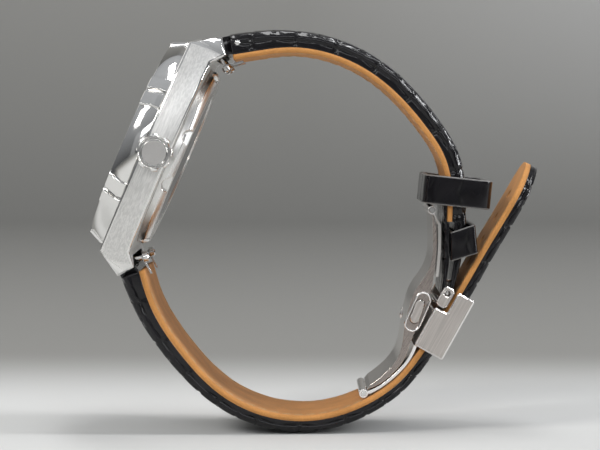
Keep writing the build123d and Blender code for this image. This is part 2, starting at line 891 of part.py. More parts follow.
def tail_hole_cuts():
    """The small holes of the tail, at the stud and onwards towards the tip."""
    cuts = stud_hole()
    for place in range(1, tail_holes):
        along = tail_hole_first + tail_hole_pitch * place
        cuts += clasp_plane.location * Pos(along, 0, 0) * Rot(90, 0, 0) * Cylinder(
            tail_hole_radius, 4 * strap_thickness
        )
    return cuts


def stud_hole():
    return clasp_plane.location * Pos(stud_place, 0, 0) * Rot(90, 0, 0) * Cylinder(
        stud_radius + running_clearance, 2 * strap_thickness
    )


def lower_strap():
    body = extrude(Plane.XZ * band(lower_rows(), -1), amount=strap_width, both=True)
    body = body & lower_plan() & tail_plan()
    body += tongue(-1)
    return body - tongue_holes(-1) - lever_room(-1) - tail_hole_cuts()


def lower_lining():
    rows = lining_rows(lower_rows())
    body = extrude(Plane.XZ * band(rows, 1), amount=strap_width, both=True)
    return (body & lower_plan() & tail_plan()) - lever_room(-1) - tail_hole_cuts()


def cross_pin():
    plane = end_plane(1)
    spot = plane_point(plane, cross_pin_distance, 0)[0]
    start = plane_point(plane, 0, 0)[0]
    taper = (strap_width - clasp_strap_width) / 2 / (taper_end_share * loop_size - start)
    half = strap_width / 2 - taper * (spot - start)
    return rod_across(plane, cross_pin_radius, cross_pin_distance, 0, -half, half)


def large_keeper():
    """A rounded rectangular loop of leather."""
    width = clasp_strap_width + 2 * (leather_clearance + keeper_wall)
    outer = RectangleRounded(large_keeper_length, width, large_keeper_corner)
    inner = RectangleRounded(
        large_keeper_length - 2 * keeper_wall, width - 2 * keeper_wall, large_keeper_corner - keeper_wall
    )
    loop = extrude(outer - inner, amount=large_keeper_height / 2, both=True)
    x, z = sized([large_keeper_place_shares])[0]
    return Pos(x, 0, z) * Rot(0, large_keeper_lean, 0) * loop


def small_keeper():
    """The fixed keeper, its inner run held between the folded layers."""
    room = clasp_strap_width / 2 + leather_clearance
    corners = sized(SMALL_KEEPER_SHARES)
    body = across(Polyline(*corners, close=True), 2 * (room + small_keeper_wall))
    sides = body.edges().filter_by(lambda edge: abs(edge.center().Y) > room)
    upright = sides.filter_by(lambda edge: abs(edge.tangent_at(0).Z) > abs(edge.tangent_at(0).X))
    body = fillet(upright, keeper_corner / 2)
    (left, top), (right, right_top), (low_right, low), (low_left, bottom) = corners
    hollow = Polyline(
        (left + small_keeper_wall, right_top + overrun),
        (right - small_keeper_wall, right_top + overrun),
        (low_right - small_keeper_wall, bottom - overrun),
        (low_left + small_keeper_wall, bottom - overrun),
        close=True,
    )
    return body - across(hollow, 2 * room)


def buckle_box():
    """Outer plate, two side plates stepped for the ears, and the inner plate."""
    half = clasp_strap_width / 2 + box_side_play + box_side_wall
    side = make_face(Polyline(
        (box_bottom, box_inner), (box_step, box_inner), (box_step, box_step_side),
        (box_top, box_step_side), (box_top, box_outer), (box_bottom, box_outer), close=True,
    ))
    side = fillet(side.vertices(), box_corner / 2)
    shell = extrude(clasp_plane * side, amount=half, both=True)
    room = clasp_strap_width / 2 + box_side_play
    shell -= block_across(
        clasp_plane, (box_bottom - overrun, box_top + overrun),
        (box_inner + box_wall, box_outer - box_wall), -room, room,
    )
    shell -= block_across(
        clasp_plane, (box_step - box_wall, box_top + overrun),
        (box_inner - overrun, box_outer - box_wall), -room, room,
    )
    return shell


def strap_stud():
    stud = Cylinder(stud_radius, stud_reach, align=(Align.CENTER, Align.CENTER, Align.MIN))
    return clasp_plane.location * Pos(stud_place, box_inner + box_wall, 0) * Rot(-90, 0, 0) * stud


def ear_bracket():
    """Two ears and the web between them, which hold the upper strap's bar."""
    half = clasp_strap_width / 2 + box_side_play + box_side_wall
    room = clasp_strap_width / 2 + box_side_play
    ear = make_face(Polyline(
        (ear_bottom, ear_inner), (ear_top, ear_inner), (ear_top, ear_outer), (ear_bottom, ear_outer),
        close=True,
    ))
    ear = fillet(ear.vertices(), ear_corner)
    body = extrude(clasp_plane * ear, amount=half, both=True)
    web = ear_bottom + ear_web_start
    body -= block_across(clasp_plane, (web + ear_web, ear_top + overrun), (ear_inner - overrun, 0), -room, room)
    body -= block_across(clasp_plane, (ear_bottom - overrun, web), (ear_inner - overrun, 0), -room, room)
    return body - rod_across(clasp_plane, clasp_bar_radius, clasp_bar_along, clasp_bar_in, -2 * half, 2 * half)


def clasp_bar():
    half = clasp_strap_width / 2 + box_side_play + box_side_wall
    return rod_across(clasp_plane, clasp_bar_radius, clasp_bar_along, clasp_bar_in, -half, half)


def hinge_plane(x, z):
    return Plane(origin=(x, 0, z), x_dir=(1, 0, 0), z_dir=(0, 1, 0))


def knuckles(plane, radius, grow, middle):
    """Barrels of a hinge: the middle one, or the two beside it."""
    half = blade_width / 2
    inner = knuckle_width / 2
    if middle:
        return rod_across(plane, radius, 0, 0, -inner - grow, inner + grow)
    near = inner + knuckle_gap - grow
    return rod_across(plane, radius, 0, 0, near, half + grow) + rod_across(
        plane, radius, 0, 0, -half - grow, -near
    )


def hinged(leaf, plane, middle, bore):
    """Give a leaf its own barrels at a hinge and clear those of the other leaf."""
    room = knuckle_radius + plate_clearance
    leaf = leaf - knuckles(plane, room, knuckle_gap, not middle)
    leaf = leaf + knuckles(plane, knuckle_radius, 0, middle)
    return leaf - rod_across(plane, bore, 0, 0, -blade_width, blade_width)


def blade(inner, outer, first, last):
    """A curved plate between two smooth lines, closed at a hinge where one is given."""
    edges = [Spline(*inner), Spline(*outer)]
    edges.append(Polyline(inner[-1], last, outer[0]) if last else Line(inner[-1], outer[0]))
    edges.append(Polyline(outer[-1], first, inner[0]) if first else Line(outer[-1], inner[0]))
    return across(edges, blade_width)


upper_hinge, lower_hinge = sized([upper_hinge_shares, lower_hinge_shares])


def clasp_base():
    body = blade(sized(BASE_INNER_SHARES), sized(BASE_OUTER_SHARES), upper_hinge, lower_hinge)
    loose = hinge_pin_radius + running_clearance
    body = hinged(body, hinge_plane(*upper_hinge), True, hinge_pin_radius)
    body = hinged(body, hinge_plane(*lower_hinge), True, loose)
    for side in (-1, 1):
        body -= button_shape(side, plate_clearance / 2, button_travel + plate_clearance)
    return body


def upper_wing():
    body = blade(sized(UPPER_WING_INNER_SHARES), sized(UPPER_WING_OUTER_SHARES), upper_hinge, None)
    return hinged(body, hinge_plane(*upper_hinge), False, hinge_pin_radius + running_clearance)


def lower_wing():
    """The plate from the lower hinge to the end of the buckle box's inner plate."""
    end = box_bottom - seat_clearance
    inner = sized(LOWER_WING_INNER_SHARES) + [plane_point(clasp_plane, end, box_inner)]
    outer = [plane_point(clasp_plane, end, box_inner + box_wall)] + sized(LOWER_WING_OUTER_SHARES)
    body = blade(inner, outer, lower_hinge, None)
    return hinged(body, hinge_plane(*lower_hinge), False, hinge_pin_radius)


def hinge_pin(place):
    half = blade_width / 2 + knuckle_gap
    return rod_across(hinge_plane(*place), hinge_pin_radius, 0, 0, -half, half)


def button_shape(side, grow, deeper):
    """One side button of the clasp, or the pocket that it slides in."""
    outline = SlotOverall(button_length + 2 * grow, button_width + 2 * grow)
    length = button_depth + button_proud + deeper + grow
    x, z = sized([button_place_shares])[0]
    plane = Plane(
        origin=(x, side * (blade_width / 2 + button_proud + grow), z),
        x_dir=(math.cos(math.radians(button_lean)), 0, math.sin(math.radians(button_lean))),
        z_dir=(0, side, 0),
    )
    return extrude(plane * outline, amount=-length)


def main():
    for node, shape in {
        "mid_case": mid_case(),
        "bezel": bezel(),
        "crystal": disc(crystal_radius, crystal_base, bezel_top + crystal_proud),
        "crystal_gasket": ring(crystal_radius + gasket_width, crystal_radius, crystal_base, bezel_top),
        "dial_ring": dial_ring(),
        "dial": dial(),
        "hour_markers": hour_markers(),
        "hour_hand": hand(hour_hand_length, hour_hand_width, hour_hand_width, 0,
                          seconds_post_radius + 2 * hand_play + hand_wall, hour_hand_angle),
        "minute_hand": hand(minute_hand_length, minute_hand_width, minute_hand_width, 1,
                            seconds_post_radius + hand_play, minute_hand_angle),
        "seconds_hand": hand(seconds_hand_length, seconds_hand_width, seconds_hand_tail, 2, 0,
                             seconds_hand_angle),
        "movement": movement(),
        "movement_ring": movement_ring(),
        "balance_wheel": balance_wheel(),
        "rotor": rotor(),
        "rotor_bearing": rotor_bearing(),
        "case_back_ring": back_ring(),
        "case_back_crystal": back_crystal(),
        "case_back_crystal_gasket": back_crystal_gasket(),
        "case_back_gasket": ring(back_gasket_radius + back_gasket_width, back_gasket_radius,
                                 -back_gasket_depth, 0),
        "crown": crown(),
        "crown_stem": crown_stem(),
        "crown_tube": crown_tube(),
        "crown_gasket": crown_gasket(),
    }.items():
        save(node, in_case(shape))
    for name, end in (("12", 1), ("6", -1)):
        save("spring_bar_tube_" + name, bar_tube(end))
        for hand_side, side in (("crown_side", -end), ("far_side", end)):
            save("release_lever_" + name + "_" + hand_side, release_lever(end, side))
    save("upper_strap", upper_strap())
    save("upper_strap_lining", upper_lining())
    save("lower_strap", lower_strap())
    save("lower_strap_lining", lower_lining())
    save("strap_cross_pin", cross_pin())
    save("large_keeper", large_keeper())
    save("small_keeper", small_keeper())
    save("buckle_box", buckle_box())
    save("strap_stud", strap_stud())
    save("ear_bracket", ear_bracket())
    save("clasp_spring_bar", clasp_bar())
    save("clasp_base", clasp_base())
    save("upper_wing", upper_wing())
    save("lower_wing", lower_wing())
    save("upper_hinge_pin", hinge_pin(upper_hinge))
    save("lower_hinge_pin", hinge_pin(lower_hinge))
    for name, side in (("crown_side", -1), ("far_side", 1)):
        save("clasp_button_" + name, button_shape(side, 0, 0))


main()
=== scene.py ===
"""Looks of a wristwatch on an embossed leather strap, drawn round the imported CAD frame.

Lengths in this script are millimetres in the frame's own axes, and are turned to metres
when a mesh is made.
"""

import math

import bmesh
import bpy
import numpy as np
from mathutils import Matrix, Vector


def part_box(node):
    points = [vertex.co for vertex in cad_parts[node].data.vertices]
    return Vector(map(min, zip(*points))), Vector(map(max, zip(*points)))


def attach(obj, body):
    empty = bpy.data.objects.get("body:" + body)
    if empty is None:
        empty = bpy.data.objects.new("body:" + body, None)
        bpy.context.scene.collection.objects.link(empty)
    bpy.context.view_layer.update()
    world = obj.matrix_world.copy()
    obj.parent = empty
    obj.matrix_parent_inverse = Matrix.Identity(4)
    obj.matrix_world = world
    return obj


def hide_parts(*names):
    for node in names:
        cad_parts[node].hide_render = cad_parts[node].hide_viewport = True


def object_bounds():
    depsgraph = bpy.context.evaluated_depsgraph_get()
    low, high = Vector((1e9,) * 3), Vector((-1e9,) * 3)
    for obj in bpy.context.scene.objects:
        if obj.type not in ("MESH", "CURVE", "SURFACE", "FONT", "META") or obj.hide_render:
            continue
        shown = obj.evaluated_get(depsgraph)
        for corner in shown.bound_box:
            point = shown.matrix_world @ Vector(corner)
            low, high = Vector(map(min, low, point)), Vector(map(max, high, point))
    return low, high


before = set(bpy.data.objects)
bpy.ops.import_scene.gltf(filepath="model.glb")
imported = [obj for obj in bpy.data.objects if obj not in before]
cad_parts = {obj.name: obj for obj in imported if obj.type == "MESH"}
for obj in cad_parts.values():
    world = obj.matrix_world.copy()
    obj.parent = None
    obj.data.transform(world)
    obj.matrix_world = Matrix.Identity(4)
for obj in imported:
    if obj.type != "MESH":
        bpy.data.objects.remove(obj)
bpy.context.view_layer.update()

MM = 0.001
rng = np.random.default_rng(7)


# Frames of the case, the strap ends and the clasp. The case's rows point to its crown, to
# 12 o'clock and out of its dial

LEAN = math.radians(66.5)
SIN = math.sin(LEAN)
COS = math.cos(LEAN)
CASE_ROWS = ((0, -1, 0), (COS, 0, SIN), (-SIN, 0, COS))

# A plane across the wrist: its origin, its along direction and its out direction, in X and Z
BAR_12 = (np.array([-16.722, 31.046]), np.array([0.971612, 0.236579]), np.array([0.236579, -0.971612]))
BAR_6 = (np.array([-34.110, -8.943]), np.array([0.489615, -0.871939]), np.array([0.871939, 0.489615]))
CLASP = (np.array([26.345, -19.552]), np.array([0.48481, 0.87462]), np.array([0.87462, -0.48481]))
CLASP_ROWS = ((0, -1, 0), (CLASP[1][0], 0, CLASP[1][1]), (CLASP[2][0], 0, CLASP[2][1]))


def from_plane(plane, along, out, y):
    """A profile place (along, out) at a distance y across the wrist."""
    origin, a, b = plane
    along, out, y = np.broadcast_arrays(np.asarray(along, float), out, y)
    flat = origin + along[..., None] * a + out[..., None] * b
    return np.stack([flat[..., 0], y, flat[..., 1]], -1)


def clasp_run(points):
    """How far points in X and Z lie along the clasp's plane."""
    return (points - CLASP[0]) @ CLASP[1]


# Meshes

CHAMFERED_ANGLE = 44
SHARP_ANGLE = 24
FLAT_ANGLE = 0.5
MERGE_DISTANCE = 0.002


def dressed(name, mesh, body, materials):
    """The mesh as a smooth object at the origin, with its materials, riding on a CAD body."""
    mesh.polygons.foreach_set("use_smooth", [True] * len(mesh.polygons))
    for item in materials:
        mesh.materials.append(item)
    obj = bpy.data.objects.new(name, mesh)
    bpy.context.collection.objects.link(obj)
    if body:
        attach(obj, body)
    return obj


def make_object(name, verts, faces, body, materials):
    """An object from vertices in mm and a list of arrays of faces."""
    mesh = bpy.data.meshes.new(name)
    mesh.from_pydata((verts * MM).tolist(), [], sum((block.tolist() for block in faces), []))
    mesh.update()
    return dressed(name, mesh, body, materials)


def grid_faces(rows, columns, wrap_rows=False, wrap_columns=True):
    """Quads of a grid: corners (i, j), (i + 1, j), (i + 1, j + 1), (i, j + 1), with wrapping."""
    i = np.arange(rows if wrap_rows else rows - 1)
    j = np.arange(columns if wrap_columns else columns - 1)
    i, j = np.meshgrid(i, j, indexing="ij")
    k = (i + 1) % rows
    m = (j + 1) % columns
    return np.stack([i * columns + j, k * columns + j, k * columns + m, i * columns + m], -1).reshape(-1, 4)


def signed_volume(verts, faces):
    """Sum over the faces' triangles of a . (b x c) / 6, positive when they face outwards."""
    tris = np.vstack([block[:, [0, k, k + 1]] for block in faces for k in range(1, block.shape[1] - 1)])
    a, b, c = (verts[tris[:, k]] for k in range(3))
    return np.einsum("ij,ij->", a, np.cross(b, c)) / 6


def swept(rings, closed=False):
    """Vertices and faces of rings joined in a row, with fans over both ends unless it closes."""
    rows, columns = rings.shape[:2]
    verts = rings.reshape(-1, 3)
    faces = [grid_faces(rows, columns, wrap_rows=closed)]
    if not closed:
        verts = np.vstack([verts, rings[0].mean(0), rings[-1].mean(0)])
        first = rows * columns
        base = first - columns
        j = np.arange(columns)
        k = (j + 1) % columns
        low = np.stack([np.full(columns, first), j, k], -1)
        high = np.stack([np.full(columns, first + 1), base + k, base + j], -1)
        faces.append(np.stack([low, high], 1).reshape(-1, 3))
    if signed_volume(verts, faces) < 0:
        faces = [block[:, ::-1] for block in faces]
    return verts, faces


def sweep_piece(name, rings, body, materials, node=None, groove=None, closed=False):
    """Rings swept into an object, which may stand for a CAD node. The groove's depth at every
    vertex is kept for the material to read, and the fans' centres get the last one."""
    verts, faces = swept(rings, closed)
    obj = make_object(name, verts, faces, body, materials)
    if groove is not None:
        full = np.full(len(verts), groove.flat[-1], np.float32)
        full[: groove.size] = groove.ravel()
        obj.data.attributes.new("groove", "FLOAT", "POINT").data.foreach_set("value", full)
    if node:
        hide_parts(node)
    return obj


def chamfered(node, body, width, materials):
    """A copy of a CAD node, merged, its flat faces joined, and each outer edge that turns by
    more than 44 degrees cut back by a chamfer, which takes the second material."""
    bm = bmesh.new()
    bm.from_mesh(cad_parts[node].data)
    bmesh.ops.remove_doubles(bm, verts=bm.verts, dist=MERGE_DISTANCE * MM)
    bmesh.ops.dissolve_limit(bm, angle_limit=math.radians(FLAT_ANGLE), verts=bm.verts, edges=bm.edges)
    for face in bm.faces:
        face.material_index = 0
    edges = [e for e in bm.edges if len(e.link_faces) == 2 and e.is_convex
             and e.calc_face_angle(0) > math.radians(CHAMFERED_ANGLE)]
    bmesh.ops.bevel(bm, geom=edges, offset=width * MM, segments=1, profile=0.5, affect="EDGES",
                    clamp_overlap=False, material=1)
    mesh = bpy.data.meshes.new(node + "_dressed")
    bm.to_mesh(mesh)
    bm.free()
    obj = dressed(node + "_dressed", mesh, body, materials)
    mesh.set_sharp_from_angle(angle=math.radians(SHARP_ANGLE))
    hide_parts(node)


# Smooth lines

def chord_knots(points):
    """Running sum of the distances between points."""
    return np.concatenate([[0], np.cumsum(np.linalg.norm(np.diff(points, axis=0), axis=1))])


def spline(points, at):
    """Natural cubic spline by chord length. Its second derivatives M solve
    h[i-1] M[i-1] + 2 (h[i-1] + h[i]) M[i] + h[i] M[i+1] = 6 (slope[i] - slope[i-1])."""
    p = np.asarray(points, float)
    knots = chord_knots(p)
    h = np.diff(knots)
    slope = np.diff(p, axis=0) / h[:, None]
    i = np.arange(1, len(p) - 1)
    a = np.eye(len(p))
    a[i, i - 1], a[i, i], a[i, i + 1] = h[:-1], 2 * (h[:-1] + h[1:]), h[1:]
    r = np.zeros_like(p)
    r[i] = 6 * np.diff(slope, axis=0)
    m = np.linalg.solve(a, r)
    i = np.clip(np.searchsorted(knots, at, side="right") - 1, 0, len(p) - 2)
    d = (at - knots[i])[:, None]
    e = (knots[i + 1] - at)[:, None]
    g = h[i][:, None]
    return (
        (m[i] * e ** 3 + m[i + 1] * d ** 3) / (6 * g)
        + (p[i] / g - m[i] * g / 6) * e
        + (p[i + 1] / g - m[i + 1] * g / 6) * d
    )


def smooth_step(low, high, x):
    """3 u^2 - 2 u^3 of u = (x - low) / (high - low), held between 0 and 1."""
    u = np.clip((x - low) / (high - low), 0, 1)
    return u * u * (3 - 2 * u)


class Path:
    """Stations along a strap: near and far edges in X, Z, the run along them and the half width."""

    holes = ()

    def __init__(self, near, far, half):
        """The run s is the sum of the steps between the edges' midpoints."""
        self.near = near
        self.s = chord_knots((near + far) / 2)
        self.half = half
        rise = far - near
        self.thick = np.linalg.norm(rise, axis=1)
        self.up = rise / self.thick[:, None]

    def at(self, s, y, h):
        """Frame position of run s, distance y across and height h over the near edge."""
        s, y, h = np.broadcast_arrays(np.asarray(s, float), y, h)
        near = [np.interp(s, self.s, self.near[:, k]) for k in (0, 1)]
        up = [np.interp(s, self.s, self.up[:, k]) for k in (0, 1)]
        return np.stack([near[0] + up[0] * h, y, near[1] + up[1] * h], -1)


# Embossing of the leather

SCALE_PITCH = 8.2
BROAD_COLUMNS = ((-0.43, 0.235), (0.0, 0.225), (0.43, 0.235))
SIDE_COLUMN = 0.83
OUTER_COLUMN = 1.16
SIDE_SHARE = 0.16
GROOVE_SHARPNESS = 0.17
CHUNK = 20000


def scale_rows(length, first, seed):
    """Centres and sizes of the embossed scales: three broad columns of one pitch, and small
    ones at the sides of half of it. Places are run s and share across, from -1 to 1."""
    r = np.random.default_rng(seed)
    pitch = SCALE_PITCH
    scales = []
    for k in range(-1, int(length / pitch) + 3):
        s0 = first + (k + 0.5) * pitch
        for y0, q in BROAD_COLUMNS:
            scales.append((s0 + r.uniform(-0.06, 0.06) * pitch, y0 + r.uniform(-0.03, 0.03), pitch / 2, q))
        for side in (-1, 1):
            for half in (-0.25, 0.25):
                scales.append((s0 + (half + r.uniform(-0.05, 0.05)) * pitch,
                               side * (SIDE_COLUMN + r.uniform(-0.02, 0.02)), pitch / 3.6, SIDE_SHARE))
            scales.append((s0 + r.uniform(-0.08, 0.08) * pitch, side * OUTER_COLUMN, pitch / 2.05,
                           SIDE_SHARE))
    return np.array(scales)


def embossed(s, share, scales):
    """Groove and swell of the embossing. With F1 and F2 the two least of
    sqrt(((s - s0) / p)^2 + ((share - y0) / q)^2), groove = exp(-((F2 - F1) / 0.17)^2)
    and swell = 1 - F1^2 / 2, with F1 held under 1.4."""
    shape = s.shape
    s, share = s.ravel(), share.ravel()
    groove = np.empty(s.size)
    swell = np.empty(s.size)
    for low in range(0, s.size, CHUNK):
        part = slice(low, low + CHUNK)
        du = (s[part, None] - scales[None, :, 0]) / scales[None, :, 2]
        dv = (share[part, None] - scales[None, :, 1]) / scales[None, :, 3]
        two = np.partition(np.sqrt(du * du + dv * dv), 1, axis=1)[:, :2]
        groove[part] = np.exp(-(((two[:, 1] - two[:, 0]) / GROOVE_SHARPNESS) ** 2))
        swell[part] = 1 - np.clip(two[:, 0], 0, 1.4) ** 2 / 2
    return groove.reshape(shape), swell.reshape(shape)


def waves(s, y, seed, count, size):
    """Low ripples: the sum of count sines with random directions and phases, over
    1.6 sqrt(count), so mostly between -1 and 1."""
    r = np.random.default_rng(seed)
    total = np.zeros(np.broadcast(s, y).shape)
    for _ in range(count):
        angle = r.uniform(0, math.pi)
        k = r.uniform(0.5, 1.6) / size
        total += np.sin(k * (s * math.cos(angle) + y * math.sin(angle)) + r.uniform(0, 6.28))
    return total / count ** 0.5 / 1.6


# Materials

class Tree:
    """A material, or the world, whose nodes are added one call at a time."""

    def __init__(self, name, family=bpy.data.materials, output="OutputMaterial"):
        """A new member of the family, with nothing but its output node."""
        self.owner = family.new(name)
        self.owner.use_nodes = True
        self.tree = self.owner.node_tree
        self.tree.nodes.clear()
        self.out = self.add(output, {})

    def add(self, kind, inputs, **settings):
        """A node with its settings and its inputs, which are linked or set. A colour gets its
        alpha here."""
        node = self.tree.nodes.new("ShaderNode" + kind)
        for key, value in settings.items():
            setattr(node, key, value)
        for key, value in inputs.items():
            socket = node.inputs[key]
            if isinstance(value, bpy.types.NodeSocket):
                self.tree.links.new(value, socket)
            elif socket.type == "RGBA":
                socket.default_value = (*value, 1)
            else:
                socket.default_value = value
        return node

    def math(self, operation, a, b=0.0):
        """The operation on two numbers."""
        return self.add("Math", {0: a, 1: b}, operation=operation).outputs[0]

    def times(self, a, b):
        """a b"""
        return self.math("MULTIPLY", a, b)

    def plus(self, a, b):
        """a + b"""
        return self.math("ADD", a, b)

    def minus(self, a, b):
        """a - b"""
        return self.math("SUBTRACT", a, b)

    def size(self, a, b):
        """sqrt(a^2 + b^2)"""
        return self.math("SQRT", self.plus(self.times(a, a), self.times(b, b)))

    def vector(self, operation, a, b):
        """The operation on two vectors."""
        return self.add("VectorMath", {0: a, 1: b}, operation=operation).outputs[0]

    def scaled(self, vector, factors):
        """Each part of a vector times its factor."""
        return self.vector("MULTIPLY", vector, factors)

    def object_mm(self):
        """Object coordinates in millimetres."""
        return self.scaled(self.add("TexCoord", {}).outputs["Object"], (1000, 1000, 1000))

    def normal(self):
        """The surface's normal on the object's axes."""
        return self.add("TexCoord", {}).outputs["Normal"]

    def turned(self, vector, rows):
        """A vector taken into a frame given by its three unit rows."""
        euler = tuple(Matrix(rows).to_euler("XYZ"))
        return self.add("Mapping", {"Vector": vector, "Rotation": euler}, vector_type="POINT").outputs[0]

    def parts(self, vector):
        """A vector's x, y and z."""
        return self.add("SeparateXYZ", {0: vector}).outputs

    def size_of_part(self, vector, axis):
        """The absolute value of one part of a vector."""
        return self.math("ABSOLUTE", self.parts(vector)[axis])

    def combined(self, x, y, z=0.0):
        """The vector of x, y and z."""
        return self.add("CombineXYZ", {0: x, 1: y, 2: z}).outputs[0]

    def noise(self, vector, scale, detail=3.0, rough=0.5):
        """Cloudy noise, about 0.5 on average."""
        inputs = {"Vector": vector, "Scale": scale, "Detail": detail, "Roughness": rough}
        return self.add("TexNoise", inputs).outputs[0]

    def cells(self, vector, scale, feature):
        """A distance in a pattern of cells."""
        inputs = {"Vector": vector, "Scale": scale}
        return self.add("TexVoronoi", inputs, feature=feature).outputs["Distance"]

    def ramp(self, value, low, high, to_low=0.0, to_high=1.0):
        """A straight ramp from to_low at low to to_high at high, level beyond them."""
        inputs = {"Value": value, "From Min": low, "From Max": high, "To Min": to_low, "To Max": to_high}
        return self.add("MapRange", inputs).outputs[0]

    def middle(self, value, to_low=0.0, to_high=1.0):
        """A noise's middle stretch, from 0.3 to 0.7, taken to a range."""
        return self.ramp(value, 0.3, 0.7, to_low, to_high)

    def blend(self, factor, a, b):
        """Colour mix a (1 - f) + b f."""
        return self.add("Mix", {0: factor, 6: a, 7: b}, data_type="RGBA").outputs[2]

    def mix(self, factor, a, b):
        """Number mix a (1 - f) + b f."""
        return self.add("Mix", {0: factor, 2: a, 3: b}, data_type="FLOAT").outputs[0]

    def rounded(self, edge, samples=4):
        """The normal with edges rounded by a radius in mm."""
        return self.add("Bevel", {"Radius": edge * MM}, samples=samples).outputs[0]

    def bump(self, height, distance, strength, normal=None):
        """The normal tilted by a height, whose full swing is the distance in mm."""
        inputs = {"Height": height, "Distance": distance * MM, "Strength": strength}
        if normal is not None:
            inputs["Normal"] = normal
        return self.add("Bump", inputs).outputs[0]

    def finish(self, tint, rough, normal, **inputs):
        """The surface shader, with the given inputs, as the material's output."""
        named = {key.replace("_", " "): value for key, value in inputs.items()}
        named.update({"Base Color": tint, "Roughness": rough})
        if normal is not None:
            named["Normal"] = normal
        return self.show(self.add("BsdfPrincipled", named))

    def show(self, shader):
        """Links the shader to the output, and gives the finished material or world."""
        self.tree.links.new(shader.outputs[0], self.out.inputs[0])
        return self.owner


def shade(colour, factor):
    """A colour times a factor, held under 1."""
    return tuple(min(1, c * factor) for c in colour)


GRAIN = np.array([9.0, 0.22, 9.0])
BRIGHT = (0.86, 0.85, 0.83)


def brushed_steel(name, rows, colour, rough, edge, polish=False):
    """Steel with fine grain along the second axis of a frame, and edges rounded in the shading.
    With polish, faces that lean between the first axis and the others are mirror bright."""
    t = Tree(name)
    here = t.turned(t.object_mm(), rows)
    grain = t.noise(t.scaled(here, GRAIN), 1.6, 4.0, 0.65)
    broad = t.noise(here, 0.35)
    marks = t.noise(t.scaled(here, GRAIN * 2.1), 1.1, 2.0)
    streaks = t.noise(t.scaled(here, GRAIN * 0.26), 1.6, 3.0, 0.6)
    shine = t.rounded(edge)
    height = t.plus(grain, t.times(marks, 0.4))
    strength = 0.55
    roughness = t.plus(t.middle(grain, rough - 0.05, rough + 0.08), t.middle(broad, -0.02, 0.04))
    tint = t.blend(t.middle(grain), shade(colour, 0.88), colour)
    tint = t.blend(t.ramp(streaks, 0.62, 0.4, 0.0, 0.75), tint, shade(colour, 0.72))
    if polish:
        lean = t.size_of_part(t.turned(t.normal(), rows), 0)
        slope = t.times(t.ramp(lean, 0.3, 0.4), t.ramp(lean, 0.9, 0.84))
        roughness = t.mix(slope, roughness, 0.07)
        tint = t.blend(slope, tint, BRIGHT)
        height = grain
        strength = t.times(t.minus(1.0, slope), strength)
    return t.finish(tint, roughness, t.bump(height, 0.012, strength, shine), Metallic=1.0)


def clasp_blade(name):
    """Folding blades: mirror bright, with brushed sides picked by the normal across the wrist. The warm cast
    of the bright faces is a painted reflection of the tan lining. The sides' dark colour is partly the
    brushed finish and partly painted shade for the dark surroundings they reflect.
    """
    t = Tree(name)
    here = t.turned(t.object_mm(), CLASP_ROWS)
    grain = t.noise(t.scaled(here, (9.0, 0.3, 9.0)), 1.6, 4.0, 0.65)
    wear = t.noise(here, 0.6, 5.0, 0.6)
    shine = t.rounded(0.16, 6)
    side = t.ramp(t.size_of_part(t.normal(), 1), 0.93, 0.98)
    side = t.times(side, t.ramp(t.size_of_part(shine, 1), 0.9, 0.98))
    # Brushed sides: the brushed finish, darkened by painted shade for the dark surroundings they reflect
    brushed = t.blend(grain, (0.26, 0.225, 0.205), (0.44, 0.385, 0.355))
    # Bright faces: a warm cast that is a painted reflection of the tan lining
    tint = t.blend(side, (0.84, 0.78, 0.74), brushed)
    rough = t.mix(side, t.ramp(wear, 0.35, 0.75, 0.05, 0.12), t.middle(grain, 0.2, 0.34))
    return t.finish(tint, rough, t.bump(t.times(grain, side), 0.012, 0.5, shine), Metallic=1.0)


def polished_steel(name, colour, rough, edge):
    """Bright steel with faint wear: roughness and height from two noises."""
    t = Tree(name)
    here = t.object_mm()
    wear = t.noise(here, 0.45, 5.0, 0.6)
    fine = t.noise(here, 6.0, 4.0, 0.6)
    worn = t.plus(t.ramp(wear, 0.35, 0.75, rough - 0.02, rough + 0.06), t.ramp(fine, 0.4, 0.8, 0.0, 0.03))
    tint = t.blend(t.middle(wear), shade(colour, 0.95), colour)
    return t.finish(tint, worn, t.bump(fine, 0.003, 0.3, t.rounded(edge)), Metallic=1.0)


def turned_steel(name, colour, rough):
    """Steel with circular grain about the case's axis: noise of the radius, stretched round it."""
    t = Tree(name)
    x, y, z = t.parts(t.turned(t.object_mm(), CASE_ROWS))
    turn = t.math("ARCTAN2", y, x)
    grain = t.noise(t.combined(t.times(t.size(x, y), 12.0), t.times(turn, 1.5), z), 1.4, 3.0, 0.6)
    tint = t.blend(grain, shade(colour, 0.85), colour)
    return t.finish(tint, t.middle(grain, rough - 0.05, rough + 0.08),
                    t.bump(grain, 0.006, 0.5, t.rounded(0.08)), Metallic=1.0)


